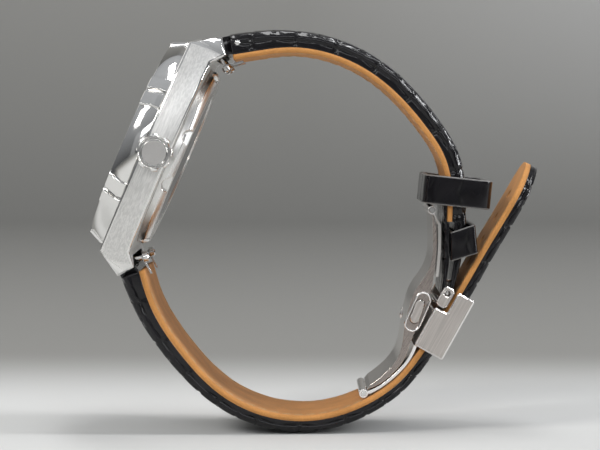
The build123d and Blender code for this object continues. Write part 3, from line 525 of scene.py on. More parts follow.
def crown_steel(name, centre, disc):
    """The crown: a satin disc with circular grain, a groove round it whose dark colour is painted shade, a
    bright ring, and a mirror rim.
    """
    t = Tree(name)
    here = t.vector("SUBTRACT", t.object_mm(), centre)
    x, _, z = t.parts(here)
    radius = t.size(x, z)
    turn = t.math("ARCTAN2", z, x)
    front = t.ramp(t.size_of_part(t.normal(), 1), 0.9, 0.97)
    grain = t.noise(t.combined(t.times(radius, 9.0), t.times(turn, 1.2)), 1.5, 3.0, 0.6)
    satin = t.times(t.ramp(radius, disc - 0.30, disc - 0.36), front)
    # Painted shade: a dark ring of colour in the groove round the disc, which the bump also sinks
    line = t.times(t.ramp(radius, disc - 0.36, disc - 0.30), t.ramp(radius, disc - 0.20, disc - 0.26))
    line = t.times(line, front)
    rough = t.mix(satin, t.middle(t.noise(here, 1.0, 4.0), 0.06, 0.11), t.middle(grain, 0.26, 0.38))
    tint = t.blend(satin, (0.84, 0.83, 0.81), (0.66, 0.64, 0.62))
    tint = t.blend(line, tint, (0.12, 0.12, 0.12))
    height = t.minus(t.times(t.times(grain, satin), 0.12), line)
    return t.finish(tint, rough, t.bump(height, 0.06, 0.6), Metallic=1.0)


MINUTE_MARKS = (13.35, 14.15)
MINUTE_RING = (14.18, 14.26)


def dial_lacquer(name):
    """The dial: a dark sunburst, and a printed minute track of marks by angle and a ring."""
    t = Tree(name)
    x, y, _ = t.parts(t.turned(t.object_mm(), CASE_ROWS))
    radius = t.size(x, y)
    turn = t.math("ARCTAN2", y, x)
    ray = t.combined(t.math("COSINE", turn), t.math("SINE", turn), t.times(radius, 0.01))
    rays = t.noise(ray, 42.0, 4.0, 0.7)

    def ring(low, high):
        """1 between two radii, and 0 elsewhere."""
        return t.times(t.math("GREATER_THAN", radius, low), t.math("LESS_THAN", radius, high))

    minute = t.math("PINGPONG", t.times(t.plus(turn, math.pi), 60 / (2 * math.pi)), 0.5)
    tick = t.times(t.math("LESS_THAN", minute, 0.055), ring(*MINUTE_MARKS))
    printed = t.math("MAXIMUM", tick, ring(*MINUTE_RING))
    tint = t.blend(rays, (0.006, 0.009, 0.018), (0.020, 0.026, 0.042))
    tint = t.blend(printed, tint, (0.72, 0.72, 0.70))
    return t.finish(tint, t.middle(rays, 0.36, 0.46), t.bump(rays, 0.003, 0.2),
                    Metallic=t.times(t.minus(1.0, printed), 0.4))


def applied_marks(name):
    """Polished hour marks and hands, with a pale luminous inlay on their upper faces."""
    t = Tree(name)
    up = t.ramp(t.parts(t.turned(t.normal(), CASE_ROWS))[2], 0.985, 0.995)
    fine = t.noise(t.object_mm(), 9.0, 4.0)
    tint = t.blend(up, (0.82, 0.82, 0.81), (0.80, 0.83, 0.76))
    rough = t.mix(up, t.middle(fine, 0.06, 0.12), t.middle(fine, 0.5, 0.65))
    return t.finish(tint, rough, t.bump(fine, 0.006, 0.4), Metallic=t.minus(1.0, up))


STRIPE_PITCH = 2.2
JEWEL = (0.45, 0.02, 0.05)
SCREW = (0.10, 0.12, 0.2)
GILT = (0.80, 0.62, 0.33)


def striped_metal(name, colour):
    """Movement bridges: slanting polished stripes, fine grain between, and a few dark screws and
    red jewels placed by circles on the plate."""
    t = Tree(name)
    here = t.turned(t.object_mm(), CASE_ROWS)
    x, y, _ = t.parts(here)
    slant = t.plus(t.times(x, 0.94), t.times(y, 0.34))
    wave = t.math("SINE", t.times(slant, 2 * math.pi / STRIPE_PITCH))
    grain = t.noise(t.scaled(here, (2.0, 14.0, 2.0)), 1.5)
    tint = t.blend(t.ramp(wave, -1.0, 1.0), shade(colour, 0.72), colour)
    height = t.plus(wave, t.times(grain, 0.3))
    for x0, y0, size, spot in ((4.5, 7.2, 0.55, JEWEL), (8.4, 2.2, 0.55, JEWEL), (-2.4, 9.0, 0.5, JEWEL),
                               (6.8, -4.6, 0.7, SCREW), (9.6, 6.2, 0.6, SCREW), (-9.0, 5.4, 0.6, SCREW),
                               (0.8, 11.0, 0.6, SCREW)):
        away = t.size(t.minus(x, x0), t.minus(y, y0))
        inside = t.ramp(away, size, size - 0.08)
        rim = t.times(t.ramp(away, size + 0.22, size + 0.14), t.ramp(away, size, size + 0.06))
        tint = t.blend(rim, tint, GILT)
        tint = t.blend(inside, tint, spot)
        height = t.minus(height, t.times(inside, 1.5))
    return t.finish(tint, t.ramp(wave, -1.0, 1.0, 0.18, 0.34), t.bump(height, 0.02, 0.5), Metallic=1.0)


def black_leather(name, gloss_rough, creased):
    """Glazed black leather: fine creases from a cell pattern, and grooves kept duller."""
    t = Tree(name)
    here = t.object_mm()
    drift = t.add("TexNoise", {"Vector": here, "Scale": 0.5}).outputs["Color"]
    warp = t.vector("ADD", here, t.scaled(drift, (1.2, 1.2, 1.2)))
    crease = t.ramp(t.cells(warp, 1.5, "DISTANCE_TO_EDGE"), 0.0, 0.09)
    fine = t.noise(here, 3.2, 5.0, 0.6)
    haze = t.noise(here, 0.3)
    groove = t.add("Attribute", {}, attribute_name="groove").outputs["Fac"]
    height = t.plus(t.times(crease, creased), t.times(fine, 0.5))
    tint = t.blend(t.ramp(haze, 0.35, 0.7), (0.0035, 0.003, 0.0042), (0.008, 0.007, 0.0088))
    tint = t.blend(t.times(groove, 0.5), tint, (0.003, 0.003, 0.003))
    rough = t.plus(t.middle(haze, gloss_rough - 0.04, gloss_rough + 0.08), t.times(groove, 0.12))
    return t.finish(tint, rough, t.bump(height, 0.05, 0.6), Specular_IOR_Level=0.1, Coat_Weight=0.5,
                    Coat_Roughness=0.045)


def tan_leather(name, colour):
    """Matte calf lining: warm brown with pores, soft stains and a fine nap."""
    t = Tree(name)
    here = t.object_mm()
    stain = t.noise(here, 0.16, 4.0, 0.6)
    grain = t.noise(here, 2.6, 6.0, 0.7)
    pits = t.ramp(t.cells(here, 2.6, "F1"), 0.05, 0.3)
    tint = t.blend(t.middle(stain), shade(colour, 0.86), shade(colour, 1.16))
    tint = t.blend(t.ramp(grain, 0.62, 0.4, 0.0, 0.35), tint, shade(colour, 0.62))
    height = t.plus(t.times(grain, 0.8), t.times(pits, 0.5))
    return t.finish(tint, t.middle(grain, 0.5, 0.72), t.bump(height, 0.05, 0.7), Specular_IOR_Level=0.18,
                    Sheen_Weight=0.05)


def edge_paint(name, colour):
    """Painted leather edge: satin, slightly uneven."""
    t = Tree(name)
    uneven = t.noise(t.object_mm(), 1.8, 4.0)
    tint = t.blend(t.middle(uneven), shade(colour, 0.7), shade(colour, 1.3))
    return t.finish(tint, t.middle(uneven, 0.35, 0.5), t.bump(uneven, 0.05, 0.5))


def thread(name, colour):
    """Waxed thread: twisted strands from a slanted wave."""
    t = Tree(name)
    here = t.object_mm()
    inputs = {"Vector": here, "Scale": 2.4, "Distortion": 1.5}
    wave = t.add("TexWave", inputs, bands_direction="DIAGONAL").outputs["Fac"]
    tint = t.blend(wave, shade(colour, 0.6), colour)
    return t.finish(tint, t.middle(t.noise(here, 4.0), 0.4, 0.6), t.bump(wave, 0.06, 0.6))


def clear_glass(name):
    """Clear crystal, with a faint smear in its roughness."""
    t = Tree(name)
    smear = t.noise(t.object_mm(), 0.2, 4.0)
    return t.finish((0.985, 0.99, 0.995), t.ramp(smear, 0.4, 0.8, 0.0, 0.02), None,
                    Transmission_Weight=1.0, IOR=1.45)


def soft_black(name, colour, rough):
    """Dark rubber or lacquer with a fine grain."""
    t = Tree(name)
    grain = t.noise(t.object_mm(), 5.0, 4.0)
    tint = t.blend(grain, shade(colour, 0.8), shade(colour, 1.2))
    return t.finish(tint, t.middle(grain, rough - 0.06, rough + 0.06), t.bump(grain, 0.01, 0.4))


STEEL = (0.80, 0.79, 0.77)
CROWN_CENTRE = (-27.35, 0, 11.89)

CASE_STEEL = brushed_steel("case steel", CASE_ROWS, STEEL, rough=0.42, edge=0.05, polish=True)
POLISHED = polished_steel("polished steel", STEEL, rough=0.07, edge=0.08)
CLASP_BRUSHED = brushed_steel("clasp brushed steel", CLASP_ROWS, (0.60, 0.555, 0.52), rough=0.40, edge=0.12)
CLASP_BRIGHT = polished_steel("clasp polished steel", (0.90, 0.87, 0.85), rough=0.08, edge=0.15)
BLADE = clasp_blade("clasp blade steel")
BACK_STEEL = turned_steel("case back steel", STEEL, rough=0.3)
CROWN_STEEL = crown_steel("crown steel", CROWN_CENTRE, disc=2.55)
PIN_STEEL = polished_steel("pin steel", (0.70, 0.69, 0.68), rough=0.14, edge=0.06)
LEATHER = black_leather("strap leather", gloss_rough=0.17, creased=0.22)
KEEPER_LEATHER = black_leather("keeper leather", gloss_rough=0.14, creased=0.07)
LINING = tan_leather("lining leather", (0.62, 0.285, 0.086))
KEEPER_EDGE = edge_paint("keeper edge", (0.16, 0.155, 0.15))
BLACK_THREAD = thread("black thread", (0.03, 0.028, 0.028))
TAN_THREAD = thread("tan thread", (0.66, 0.42, 0.20))
GLASS = clear_glass("crystal")
RUBBER = soft_black("gasket rubber", (0.02, 0.02, 0.021), rough=0.5)
DIAL = dial_lacquer("dial lacquer")
DIAL_RING = soft_black("dial ring lacquer", (0.012, 0.013, 0.018), rough=0.3)
MARKS = applied_marks("applied marks")
MOVEMENT = striped_metal("movement bridges", (0.76, 0.74, 0.70))
ROTOR = turned_steel("rotor", (0.60, 0.58, 0.54), rough=0.24)
GILT_ALLOY = polished_steel("balance alloy", GILT, rough=0.14, edge=0.03)

# Each carried-over node takes one material
for material, node_names in (
    (CASE_STEEL, "mid_case"),
    (POLISHED, "bezel"),
    (BACK_STEEL, "case_back_ring"),
    (CROWN_STEEL, "crown"),
    (GLASS, "crystal case_back_crystal"),
    (RUBBER, "crystal_gasket case_back_crystal_gasket case_back_gasket crown_gasket"),
    (DIAL_RING, "dial_ring"),
    (DIAL, "dial"),
    (MARKS, "hour_markers hour_hand minute_hand seconds_hand"),
    (MOVEMENT, "movement"),
    (GILT_ALLOY, "balance_wheel"),
    (ROTOR, "rotor"),
    (PIN_STEEL, "movement_ring rotor_bearing crown_stem crown_tube spring_bar_tube_12 spring_bar_tube_6 "
                "release_lever_12_crown_side release_lever_12_far_side release_lever_6_crown_side "
                "release_lever_6_far_side strap_cross_pin strap_stud clasp_spring_bar upper_hinge_pin "
                "lower_hinge_pin"),
    (CLASP_BRUSHED, "buckle_box ear_bracket clasp_button_crown_side clasp_button_far_side"),
    (BLADE, "clasp_base"),
    (CLASP_BRIGHT, "upper_wing lower_wing"),
):
    for node_name in node_names.split():
        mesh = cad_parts[node_name].data
        mesh.materials.clear()
        mesh.materials.append(material)

# Chamfered copies, with the chamfer's width and the materials of the faces and the chamfers
for node_name, body, slot_name, width, plain, bright in (
    ("mid_case", "watch", "case_steel", 0.12, CASE_STEEL, POLISHED),
    ("buckle_box", "watch", "clasp_steel", 0.30, CLASP_BRUSHED, CLASP_BRIGHT),
    ("ear_bracket", "watch", "clasp_steel", 0.20, CLASP_BRUSHED, CLASP_BRIGHT),
    ("clasp_button_crown_side", "button_crown_side", "clasp_steel", 0.14, CLASP_BRUSHED, CLASP_BRIGHT),
    ("clasp_button_far_side", "button_far_side", "clasp_steel", 0.14, CLASP_BRUSHED, CLASP_BRIGHT),
    ("crown", "crown", "polished_steel", 0.09, CROWN_STEEL, CROWN_STEEL),
    ("bezel", "watch", "polished_steel", 0.07, POLISHED, POLISHED),
    ("case_back_ring", "watch", "polished_steel", 0.08, BACK_STEEL, POLISHED),
):
    chamfered(node_name, body, width, (plain, bright))


# The strap's paths in X and Z: the near lines lie against the linings, and the far lines are
# the outside of the leather along the middle of the strap

UPPER_NEAR = [(-13.49, 29.83), (-10.29, 30.33), (-2.79, 31.2), (4.59, 30.09), (12.0, 26.7),
              (18.24, 21.51), (22.89, 15.99), (26.1, 10.71), (27.33, 5.55), (27.42, -1.29)]
UPPER_FAR = [(-14.14, 33.92), (-10.81, 34.41), (-2.73, 34.69), (5.56, 33.27), (13.72, 29.44),
             (20.45, 23.76), (25.37, 17.8), (28.89, 11.9), (30.3, 5.88), (30.41, -1.25)]
LOWER_NEAR = [(-31.01, -10.47), (-29.19, -16.35), (-23.19, -26.16), (-15.6, -33.84), (-5.61, -38.19),
              (3.96, -38.25), (11.61, -35.61), (17.61, -31.5), (22.47, -25.52), (26.35, -19.55),
              (29.31, -14.9), (33.51, -7.59), (37.2, -1.41), (40.89, 5.1), (42.9, 9.21)]
LOWER_FAR = [(-34.98, -11.7), (-32.35, -17.92), (-25.55, -27.99), (-17.08, -36.0), (-6.16, -40.62),
             (4.32, -40.63), (12.58, -37.58), (18.99, -32.99), (24.04, -26.67), (27.99, -20.61),
             (30.98, -15.9), (35.19, -8.57), (38.85, -2.37), (42.46, 4.26), (44.32, 8.52)]
STATION_STEP = 0.3

# The upper strap's turned end, as near X, Z and far X, Z: down to the clasp's bar, round it,
# and back up
FOLD_DOWN = np.array([
    (27.90, -1.45, 30.40, -1.45), (27.91, -4.5, 29.95, -4.5), (27.86, -8.5, 29.35, -8.6),
    (27.42, -11.5, 28.65, -11.6), (27.14, -13.7, 27.98, -13.8),
])
FOLD_BACK = np.array([
    (26.14, -13.4, 25.50, -13.6), (26.52, -11.5, 25.70, -11.8), (26.84, -9.0, 25.76, -9.0),
    (26.88, -5.0, 25.80, -5.0), (26.90, -1.45, 25.80, -1.45),
])
FOLD_TOP = np.array([(26.38, -1.2, 25.80, -1.2), (26.47, 2.2, 25.76, 2.2)])
BAR_CENTRE = np.array([26.556, -14.702])
BAR_NEAR = 0.57
BAR_FAR = 1.15

# Half widths at the case, and at X = 22.5 on the upper and the lower strap, then the tail's
# rounded tip and its free holes along the clasp's frame
LUG_HALF = 13.0
CLASP_HALF = 10.0
TAIL_HALF = 9.6
TIP_START = 24.5
TIP_END = 33.4
TAIL_HOLES = [6.3 + 5.0 * place for place in range(1, 5)]
HOLE_STATIONS = np.linspace(-1.0, 1.0, 27)


def resample(near_points, far_points, holes=()):
    """Near and far lines on one set of knots, the far line's own spline in step with the near one.
    Stations crowd round the holes, whose places are along the clasp's frame."""
    knots = chord_knots(near_points)
    at = np.linspace(0, knots[-1], int(knots[-1] / STATION_STEP) + 1)
    for hole in holes:
        late = at > knots[-1] / 2
        place = np.interp(hole, clasp_run(spline(near_points, at))[late], at[late])
        at = np.union1d(at, place + HOLE_STATIONS)
    return spline(near_points, at), spline(far_points, np.interp(at, knots, chord_knots(far_points)))


def fold_stations():
    """The turned end of the upper strap: out to the clasp's bar, round it and back."""
    turn = np.radians(np.linspace(0, -180, 25))
    ring = np.stack([np.cos(turn), np.sin(turn)], -1)
    around = np.hstack([BAR_CENTRE + BAR_NEAR * ring, BAR_CENTRE + BAR_FAR * ring])
    pieces = []
    for rows in (FOLD_DOWN, around, FOLD_BACK):
        knots = chord_knots(rows)
        pieces.append(spline(rows, np.linspace(0, knots[-1], max(3, int(knots[-1] / 2 / STATION_STEP)))))
    return np.vstack(pieces + [np.linspace(FOLD_TOP[0], FOLD_TOP[1], 10)])


def upper_path(fold):
    """The upper strap's stations with its turned end. Its half width runs straight with X."""
    near, far = resample(UPPER_NEAR, UPPER_FAR)
    near = np.vstack([near, fold[:, :2]])
    far = np.vstack([far, fold[:, 2:]])
    return Path(near, far, np.interp(near[:, 0], [-16.72, 22.5], [LUG_HALF, CLASP_HALF]))


def lower_path():
    """The lower strap's stations, with the places of the tail's holes. Its half width runs
    straight with X, and is multiplied by sqrt(1 - u^2) over the rounded tip."""
    near, far = resample(LOWER_NEAR, LOWER_FAR, TAIL_HOLES)
    run = clasp_run(near)
    u = np.clip((run - TIP_START) / (TIP_END - TIP_START), 0, 0.985)
    half = np.interp(near[:, 0], [-37.9, 22.5], [LUG_HALF, TAIL_HALF]) * np.sqrt(1 - u ** 2)
    path = Path(near, far, half)
    late = path.s > path.s[-1] / 2
    path.holes = [float(np.interp(hole, run[late], path.s[late])) for hole in TAIL_HOLES]
    return path


# The strap's leathers

EDGE_SHARE = 0.84
CROWN_POWER = 2.4
EDGE_RADIUS = 1.5
GROOVE_DEPTH = 0.26
GROOVE_DRIFT = 0.15
SWELL_HEIGHT = 0.10
MOST_SWELL = 0.02
RIPPLE_HEIGHT = 0.05
CHANNEL_INSET = 1.75
CHANNEL_DEPTH = 0.14
CHANNEL_WIDTH = 0.36
HOLE_FLOOR = 0.05
LINING_DEPTH = 1.0
LINING_RADIUS = 0.3
LINING_RIPPLE = 0.03
LINING_TOP = -0.012
LINING_HOLE_TOP = -0.03
BELOW, RIGHT, TOP, LEFT = range(4)
HOLE_ACROSS = np.linspace(-0.105, 0.105, 23)


def pitted(path, s, y):
    """1 inside the tail's round holes of 0.75 mm, falling to 0 just outside them."""
    inside = np.zeros(np.broadcast(s, y).shape)
    for hole in path.holes:
        inside = np.maximum(inside, smooth_step(0.86, 0.74, np.hypot(s - hole, y)))
    return inside


def leather_ring():
    """The round of a strap's section as rows of place across from -1 to 1, height share and
    side: flat below, sides, rounded edges and a crowned top."""
    across = np.union1d(np.linspace(-1, 1, 84), HOLE_ACROSS)
    rise = np.linspace(0, 0.999, 8)
    sides = ((np.linspace(-1, 1, 18)[:-1], 0.0, BELOW), (1.0, rise, RIGHT), (across[::-1], 1.0, TOP),
             (-1.0, rise[:0:-1], LEFT))
    return np.hstack([np.stack(np.broadcast_arrays(*side)) for side in sides])


def padded_top(thick, share):
    """The height of a strap's edge, and of its top: edge + (thick - edge) (1 - |share|^2.4)."""
    edge = np.minimum(EDGE_SHARE * thick, thick - 0.05)
    return edge, edge + (thick - edge) * (1 - np.abs(share) ** CROWN_POWER)


def strap_leather(name, path, node, first_row, seed):
    """A strap's outer leather. Over the near edge the height is
    edge + (thick - edge) (1 - |u|^2.4), rounded at the sides, less 0.26 mm times the groove,
    plus 0.10 mm times the swell, less a stitch channel 0.14 mm deep, plus ripples of 0.05 mm.
    At the tail's holes it drops nearly to the near edge."""
    u, v, side = (row[None, :] for row in leather_ring())
    below = side == BELOW
    top = side == TOP
    half = path.half[:, None]
    thick = path.thick[:, None]
    edge, crown = padded_top(thick, u)
    radius = np.minimum(EDGE_RADIUS, edge * 0.55)
    y = u * half
    gap = np.clip(np.abs(y) - (half - radius), 0, None)
    top_h = crown - (radius - np.sqrt(np.clip(radius ** 2 - gap ** 2, 0, None)))
    side_h = v * (edge - radius)
    height = np.where(top, top_h, np.where(below, 0.0, side_h))
    over = np.where(top, gap * 0.5, np.where(below, 0.0, edge - radius - side_h))
    share = u * (1 + over / np.maximum(half, 1))
    s = np.broadcast_to(path.s[:, None], share.shape)
    drift = GROOVE_DRIFT * waves(s, share * 12, seed + 3, 6, 2.0)
    groove, swell = embossed(s + drift, share, scale_rows(path.s[-1], first_row, seed))
    fade = np.minimum(smooth_step(0.0, 1.0, s), smooth_step(0.0, 1.0, path.s[-1] - s))
    thin = np.clip(thick / 2.0, 0.25, 1)
    channel = CHANNEL_DEPTH * np.exp(-((np.abs(y) - (half - CHANNEL_INSET)) / CHANNEL_WIDTH) ** 2)
    relief = (SWELL_HEIGHT * (swell - 0.5) - GROOVE_DEPTH * groove) * fade - np.where(top, channel, 0)
    relief = (relief + RIPPLE_HEIGHT * waves(s, y, seed + 5, 12, 1.3) * fade) * thin
    relief = np.where(below, 0, np.where(top, relief, relief * smooth_step(0, 0.25, v)))
    relief = np.minimum(relief, MOST_SWELL)
    out_h = np.where(top, np.sqrt(np.clip(1 - (gap / radius) ** 2, 0, 1)), 0.0)
    out_y = np.where(top, gap / radius, np.where(below, 0, 1)) * np.sign(u)
    pit = np.where(top, pitted(path, s, y + relief * out_y), 0.0)
    height = (height + relief * out_h) * (1 - pit) + HOLE_FLOOR * pit
    return sweep_piece(name, path.at(s, y + relief * out_y, height), "watch", [LEATHER],
                       node, np.where(below, 0, np.maximum(groove, pit)))


def lining_sheet(name, path, node, count):
    """A strap's lining over its first stations, 1 mm thick: flat against the leather, its free
    face rounded at the edges by 0.3 mm, rippled by 0.03 mm and pitted at the tail's holes."""
    s = path.s[:count, None]
    half = path.half[:count, None]
    free = np.union1d(np.linspace(-1, 1, 60), HOLE_ACROSS)
    u = np.concatenate([np.linspace(-1, 1, 40), free[::-1]])[None, :]
    under = np.concatenate([np.zeros(40), np.ones(len(free))])[None, :]
    y = u * half * (1 - 0.002 * under)
    gap = np.clip(np.abs(y) - (half - LINING_RADIUS), 0, LINING_RADIUS)
    drop = LINING_RADIUS - np.sqrt(np.clip(LINING_RADIUS ** 2 - gap ** 2, 0, None))
    ripple = LINING_RIPPLE * waves(s + 0 * u, y, 31, 14, 1.1)
    h = np.where(under > 0, drop - LINING_DEPTH + ripple, LINING_TOP)
    h = h + under * pitted(path, s, y) * (LINING_HOLE_TOP - h)
    sweep_piece(name, path.at(s + 0 * u, y, h), "watch", [LINING], node)


TONGUE_RADIUS = 1.7
TONGUE_HALF = 10.2
WINDOW_FROM = -0.75
WINDOW_TO = 1.9
WINDOW_FLOOR = 0.15

# Place across the wrist, and whether a lever's window cuts the section there
TONGUE_ROWS = ((-TONGUE_HALF, 0), (-10.1, 0), (-8.95, 0), (-8.94, 1), (-6.31, 1), (-6.3, 0), (6.3, 0),
               (6.31, 1), (8.94, 1), (8.95, 0), (10.1, 0), (TONGUE_HALF, 0))


def tongue(name, plane):
    """The strap's narrow end round the spring bar: a half round of 1.7 mm and a flat run to the
    shoulder, cut away over the levers' windows, and drawn in a little at both sides."""
    turn = np.radians(np.linspace(90, 270, 21))
    front = TONGUE_RADIUS * np.stack([np.cos(turn), np.sin(turn)], -1)
    low = np.stack([np.linspace(0.2, 3.1, 12), np.full(12, -TONGUE_RADIUS)], -1)
    high = np.stack([np.linspace(3.1, 0.2, 24), np.full(24, TONGUE_RADIUS)], -1)
    outline = np.vstack([front, low, high])
    rows = []
    for y, window in TONGUE_ROWS:
        section = outline.copy()
        if window:
            cut = (section[:, 0] > WINDOW_FROM) & (section[:, 0] < WINDOW_TO) & (section[:, 1] > 0)
            section[cut, 1] = WINDOW_FLOOR
        if abs(y) == TONGUE_HALF:
            section = section * 0.93 + np.array([0.1, 0])
        rows.append(from_plane(plane, section[:, 0], section[:, 1], y))
    sweep_piece(name, np.array(rows), "watch", [LEATHER], groove=np.zeros(1))


fold = fold_stations()
upper = upper_path(fold)
lower = lower_path()
upper_leather = strap_leather("upper_strap_leather", upper, "upper_strap", 4.0, 11)
lower_leather = strap_leather("lower_strap_leather", lower, "lower_strap", 5.0, 23)
lining_sheet("upper_lining", upper, "upper_strap_lining", len(upper.s) - len(fold))
lining_sheet("lower_lining", lower, "lower_strap_lining", len(lower.s))
tongue("tongue_12", BAR_12)
tongue("tongue_6", BAR_6)


# Rods and stitches

DOME_DEPTH = 0.22
STITCH_SPACING = 2.5
STITCH_LENGTH = 1.75
STITCH_RADIUS = 0.21
STITCH_DIP = 0.10
STITCH_AHEAD = 0.4
LINING_STITCH_LEVEL = -0.98


def domed_rod(name, plane, along, out, radius, reach, node, material):
    """A rod across the wrist whose ends are domed: radius sin(a) at reach - 0.22 (1 - cos(a))."""
    dome = np.radians(np.linspace(4, 90, 9))
    ends = reach - DOME_DEPTH * (1 - np.cos(dome))
    ys = np.concatenate([-ends, [0.0], ends[::-1]])[:, None]
    radii = radius * np.concatenate([np.sin(dome), [1.0], np.sin(dome)[::-1]])[:, None]
    turn = np.linspace(0, 2 * math.pi, 28, endpoint=False)
    rings = from_plane(plane, along + radii * np.cos(turn), out + radii * np.sin(turn), ys)
    sweep_piece(name, rings, "watch", [material], node)


def capsule(length, radius, rings=7, sides=8):
    """A closed capsule along x: rings of radius r sin(a) at -(l/2 - r) - r cos(a) up to its
    middle, and at (l/2 - r) - r cos(a) past it."""
    a = np.linspace(0.0, math.pi, rings)[:, None]
    x = np.where(a < math.pi / 2, -1, 1) * (length / 2 - radius) - np.cos(a) * radius
    r = np.maximum(np.sin(a), 0.05) * radius
    turn = np.linspace(0, 2 * math.pi, sides, endpoint=False)
    return swept(np.stack([x + 0 * turn, r * np.cos(turn), r * np.sin(turn)], -1))


def unit(vectors):
    """Each vector over its length."""
    return vectors / np.linalg.norm(vectors, axis=-1, keepdims=True)


def stitch_level(path, s, y, half, lining):
    """Height of a stitch over the near edge: at the lining's free face, or on the crowned top
    less the channel's depth."""
    if lining:
        return LINING_STITCH_LEVEL
    return padded_top(np.interp(s, path.s, path.thick), y / half)[1] - CHANNEL_DEPTH


def stitches(name, path, start, end, lining):
    """Two rows of stitches along a path at y = sign * (half - inset), each a capsule that dips
    into the leather at its ends by 0.10 (2 x / length)^2 mm."""
    template, faces = capsule(STITCH_LENGTH, STITCH_RADIUS)
    dip = STITCH_DIP * (2 * template[:, 0] / STITCH_LENGTH) ** 2
    template[:, 2] += dip if lining else -dip
    x, y, z = (column[None, :, None] for column in template.T)
    s0 = np.arange(start, end, STITCH_SPACING)
    rows = []
    for sign in (-1, 1):
        half = np.interp(s0, path.s, path.half)
        y0 = sign * (half - CHANNEL_INSET)
        y1 = sign * (np.interp(s0 + STITCH_AHEAD, path.s, path.half) - CHANNEL_INSET)
        level = stitch_level(path, s0, y0, half, lining)
        ahead = stitch_level(path, s0 + STITCH_AHEAD, y0, half, lining)
        here = path.at(s0, y0, level)
        along = unit(path.at(s0 + STITCH_AHEAD, y1, ahead) - here)
        up = path.at(s0, y0, level + 1) - here
        up = unit(up - along * np.sum(up * along, -1, keepdims=True))
        side = np.cross(up, along)
        tilt = rng.uniform(-0.04, 0.10, len(s0))[:, None] * sign
        rows.append(here[:, None] + x * (along + tilt * side)[:, None] + y * side[:, None] + z * up[:, None])
    verts = np.concatenate(rows)
    starts = len(template) * np.arange(len(verts))[:, None, None]
    faces = [(block + starts).reshape(-1, block.shape[1]) for block in faces]
    slot_name, material = ("lining_leather", TAN_THREAD) if lining else ("strap_leather", BLACK_THREAD)
    make_object(name, verts.reshape(-1, 3), faces, "watch", [material])


domed_rod("cross_pin", BAR_12, along=4.2, out=0.0, radius=0.5, reach=12.88,
          node="strap_cross_pin", material=POLISHED)
domed_rod("clasp_bar", CLASP, along=4.34, out=-2.17, radius=0.53, reach=10.1,
          node="clasp_spring_bar", material=PIN_STEEL)
stitches("upper_top_stitches", upper, 2.0, 49.0, lining=False)
stitches("lower_top_stitches", lower, 2.0, 104.0, lining=False)
stitches("upper_lining_stitches", upper, 5.5, 52.0, lining=True)
stitches("lower_lining_stitches", lower, 5.5, 104.0, lining=True)


# Keepers and button rims

DENT_DEPTH = 0.13
DENT_WIDTH = 0.3
KEEPER_STEP = 0.27
PAINTED_RIM = 0.24
LARGE_TILT = math.radians(6)
LARGE_CENTRE = (28.41, 4.29)
SMALL_LENGTH = 5.0
SMALL_HEIGHT = 5.5
RIM_SLOT = (7.6, 2.7, 1.35)
RIM_BEAD = 0.26
RIM_DROP = 0.12
RIM_INSET = 0.6
RIM_LEAN = math.radians(66)


def rounded_loop(length, width, radius, count):
    """Points and outward directions round a rectangle with rounded corners, by equal steps. The
    corner's centre and the direction's angle run evenly from each side's end to the next."""
    a, b = length / 2 - radius, width / 2 - radius
    quarter = math.pi * radius / 2
    ends = np.cumsum([0] + [2 * a, quarter, 2 * b, quarter] * 2)
    d = np.linspace(0, ends[-1], count, endpoint=False)
    x = np.interp(d, ends, [-a, a, a, a, a, -a, -a, -a, -a])
    y = np.interp(d, ends, [-b, -b, -b, b, b, b, b, -b, -b])
    angle = np.radians(np.interp(d, ends, [-90, -90, 0, 0, 90, 90, 180, 180, 270]))
    outs = np.stack([np.cos(angle), np.sin(angle)], -1)
    return np.stack([x, y], -1) + radius * outs, outs


def band_section(wall, height, radius):
    """A rounded section of a leather band: (depth inwards, height) rows, corners of one radius,
    and the straight sides cut in pieces of 0.25 mm or a little more."""
    a, b = wall / 2 - radius, height / 2 - radius
    angle = np.radians(np.linspace([0, 90, 180, 270], [90, 180, 270, 360], 6).T)
    centres = np.array([(a, b), (-a, b), (-a, -b), (a, -b)])[:, None, :]
    rows = (centres + radius * np.stack([np.cos(angle), np.sin(angle)], -1)).reshape(-1, 2)
    ahead = np.roll(rows, -1, axis=0) - rows
    pieces = np.maximum(1, (np.linalg.norm(ahead, axis=1) / 0.25).astype(int))
    row = np.repeat(np.arange(len(rows)), pieces)
    piece = np.arange(len(row)) - np.repeat(np.cumsum(pieces) - pieces, pieces)
    return rows[row] + ahead[row] * (piece / pieces[row])[:, None]


def keeper(name, node, body, place, length, width, wall, height, radius, seed, dent_pitch):
    """A leather loop: a rounded section carried round a rounded rectangle, its outside rippled
    and dented by exp(-(distance / 0.3)^2) at each dent_pitch of its run. place takes the loop's
    own x, y and z into the frame."""
    points, outs = rounded_loop(length, width, radius, 260)
    section = band_section(wall, height, min(0.34, wall * 0.42))
    d = wall / 2 - section[None, :, 0]
    z = section[None, :, 1]
    run = np.arange(len(points))[:, None] * KEEPER_STEP
    outer = smooth_step(0.5, 0.0, d / wall)
    away = (run + 0.25 * np.sin(z * 1.3 + 2)) % dent_pitch - dent_pitch / 2
    groove = np.exp(-(away / DENT_WIDTH) ** 2)
    relief = (0.05 * waves(run + 0 * z, z + 0 * run, seed, 12, 0.9) - DENT_DEPTH * groove - 0.02) * outer
    x = points[:, :1] + outs[:, :1] * (relief - d)
    y = points[:, 1:] + outs[:, 1:] * (relief - d)
    obj = sweep_piece(name, place(x, y, z + 0 * x), body, [KEEPER_LEATHER, KEEPER_EDGE],
                      node, groove * outer, closed=True)
    rim = np.abs(section[:, 1]) > height / 2 - PAINTED_RIM
    marks = np.tile(rim & np.roll(rim, -1), len(points)).astype(np.int32)
    obj.data.polygons.foreach_set("material_index", marks)


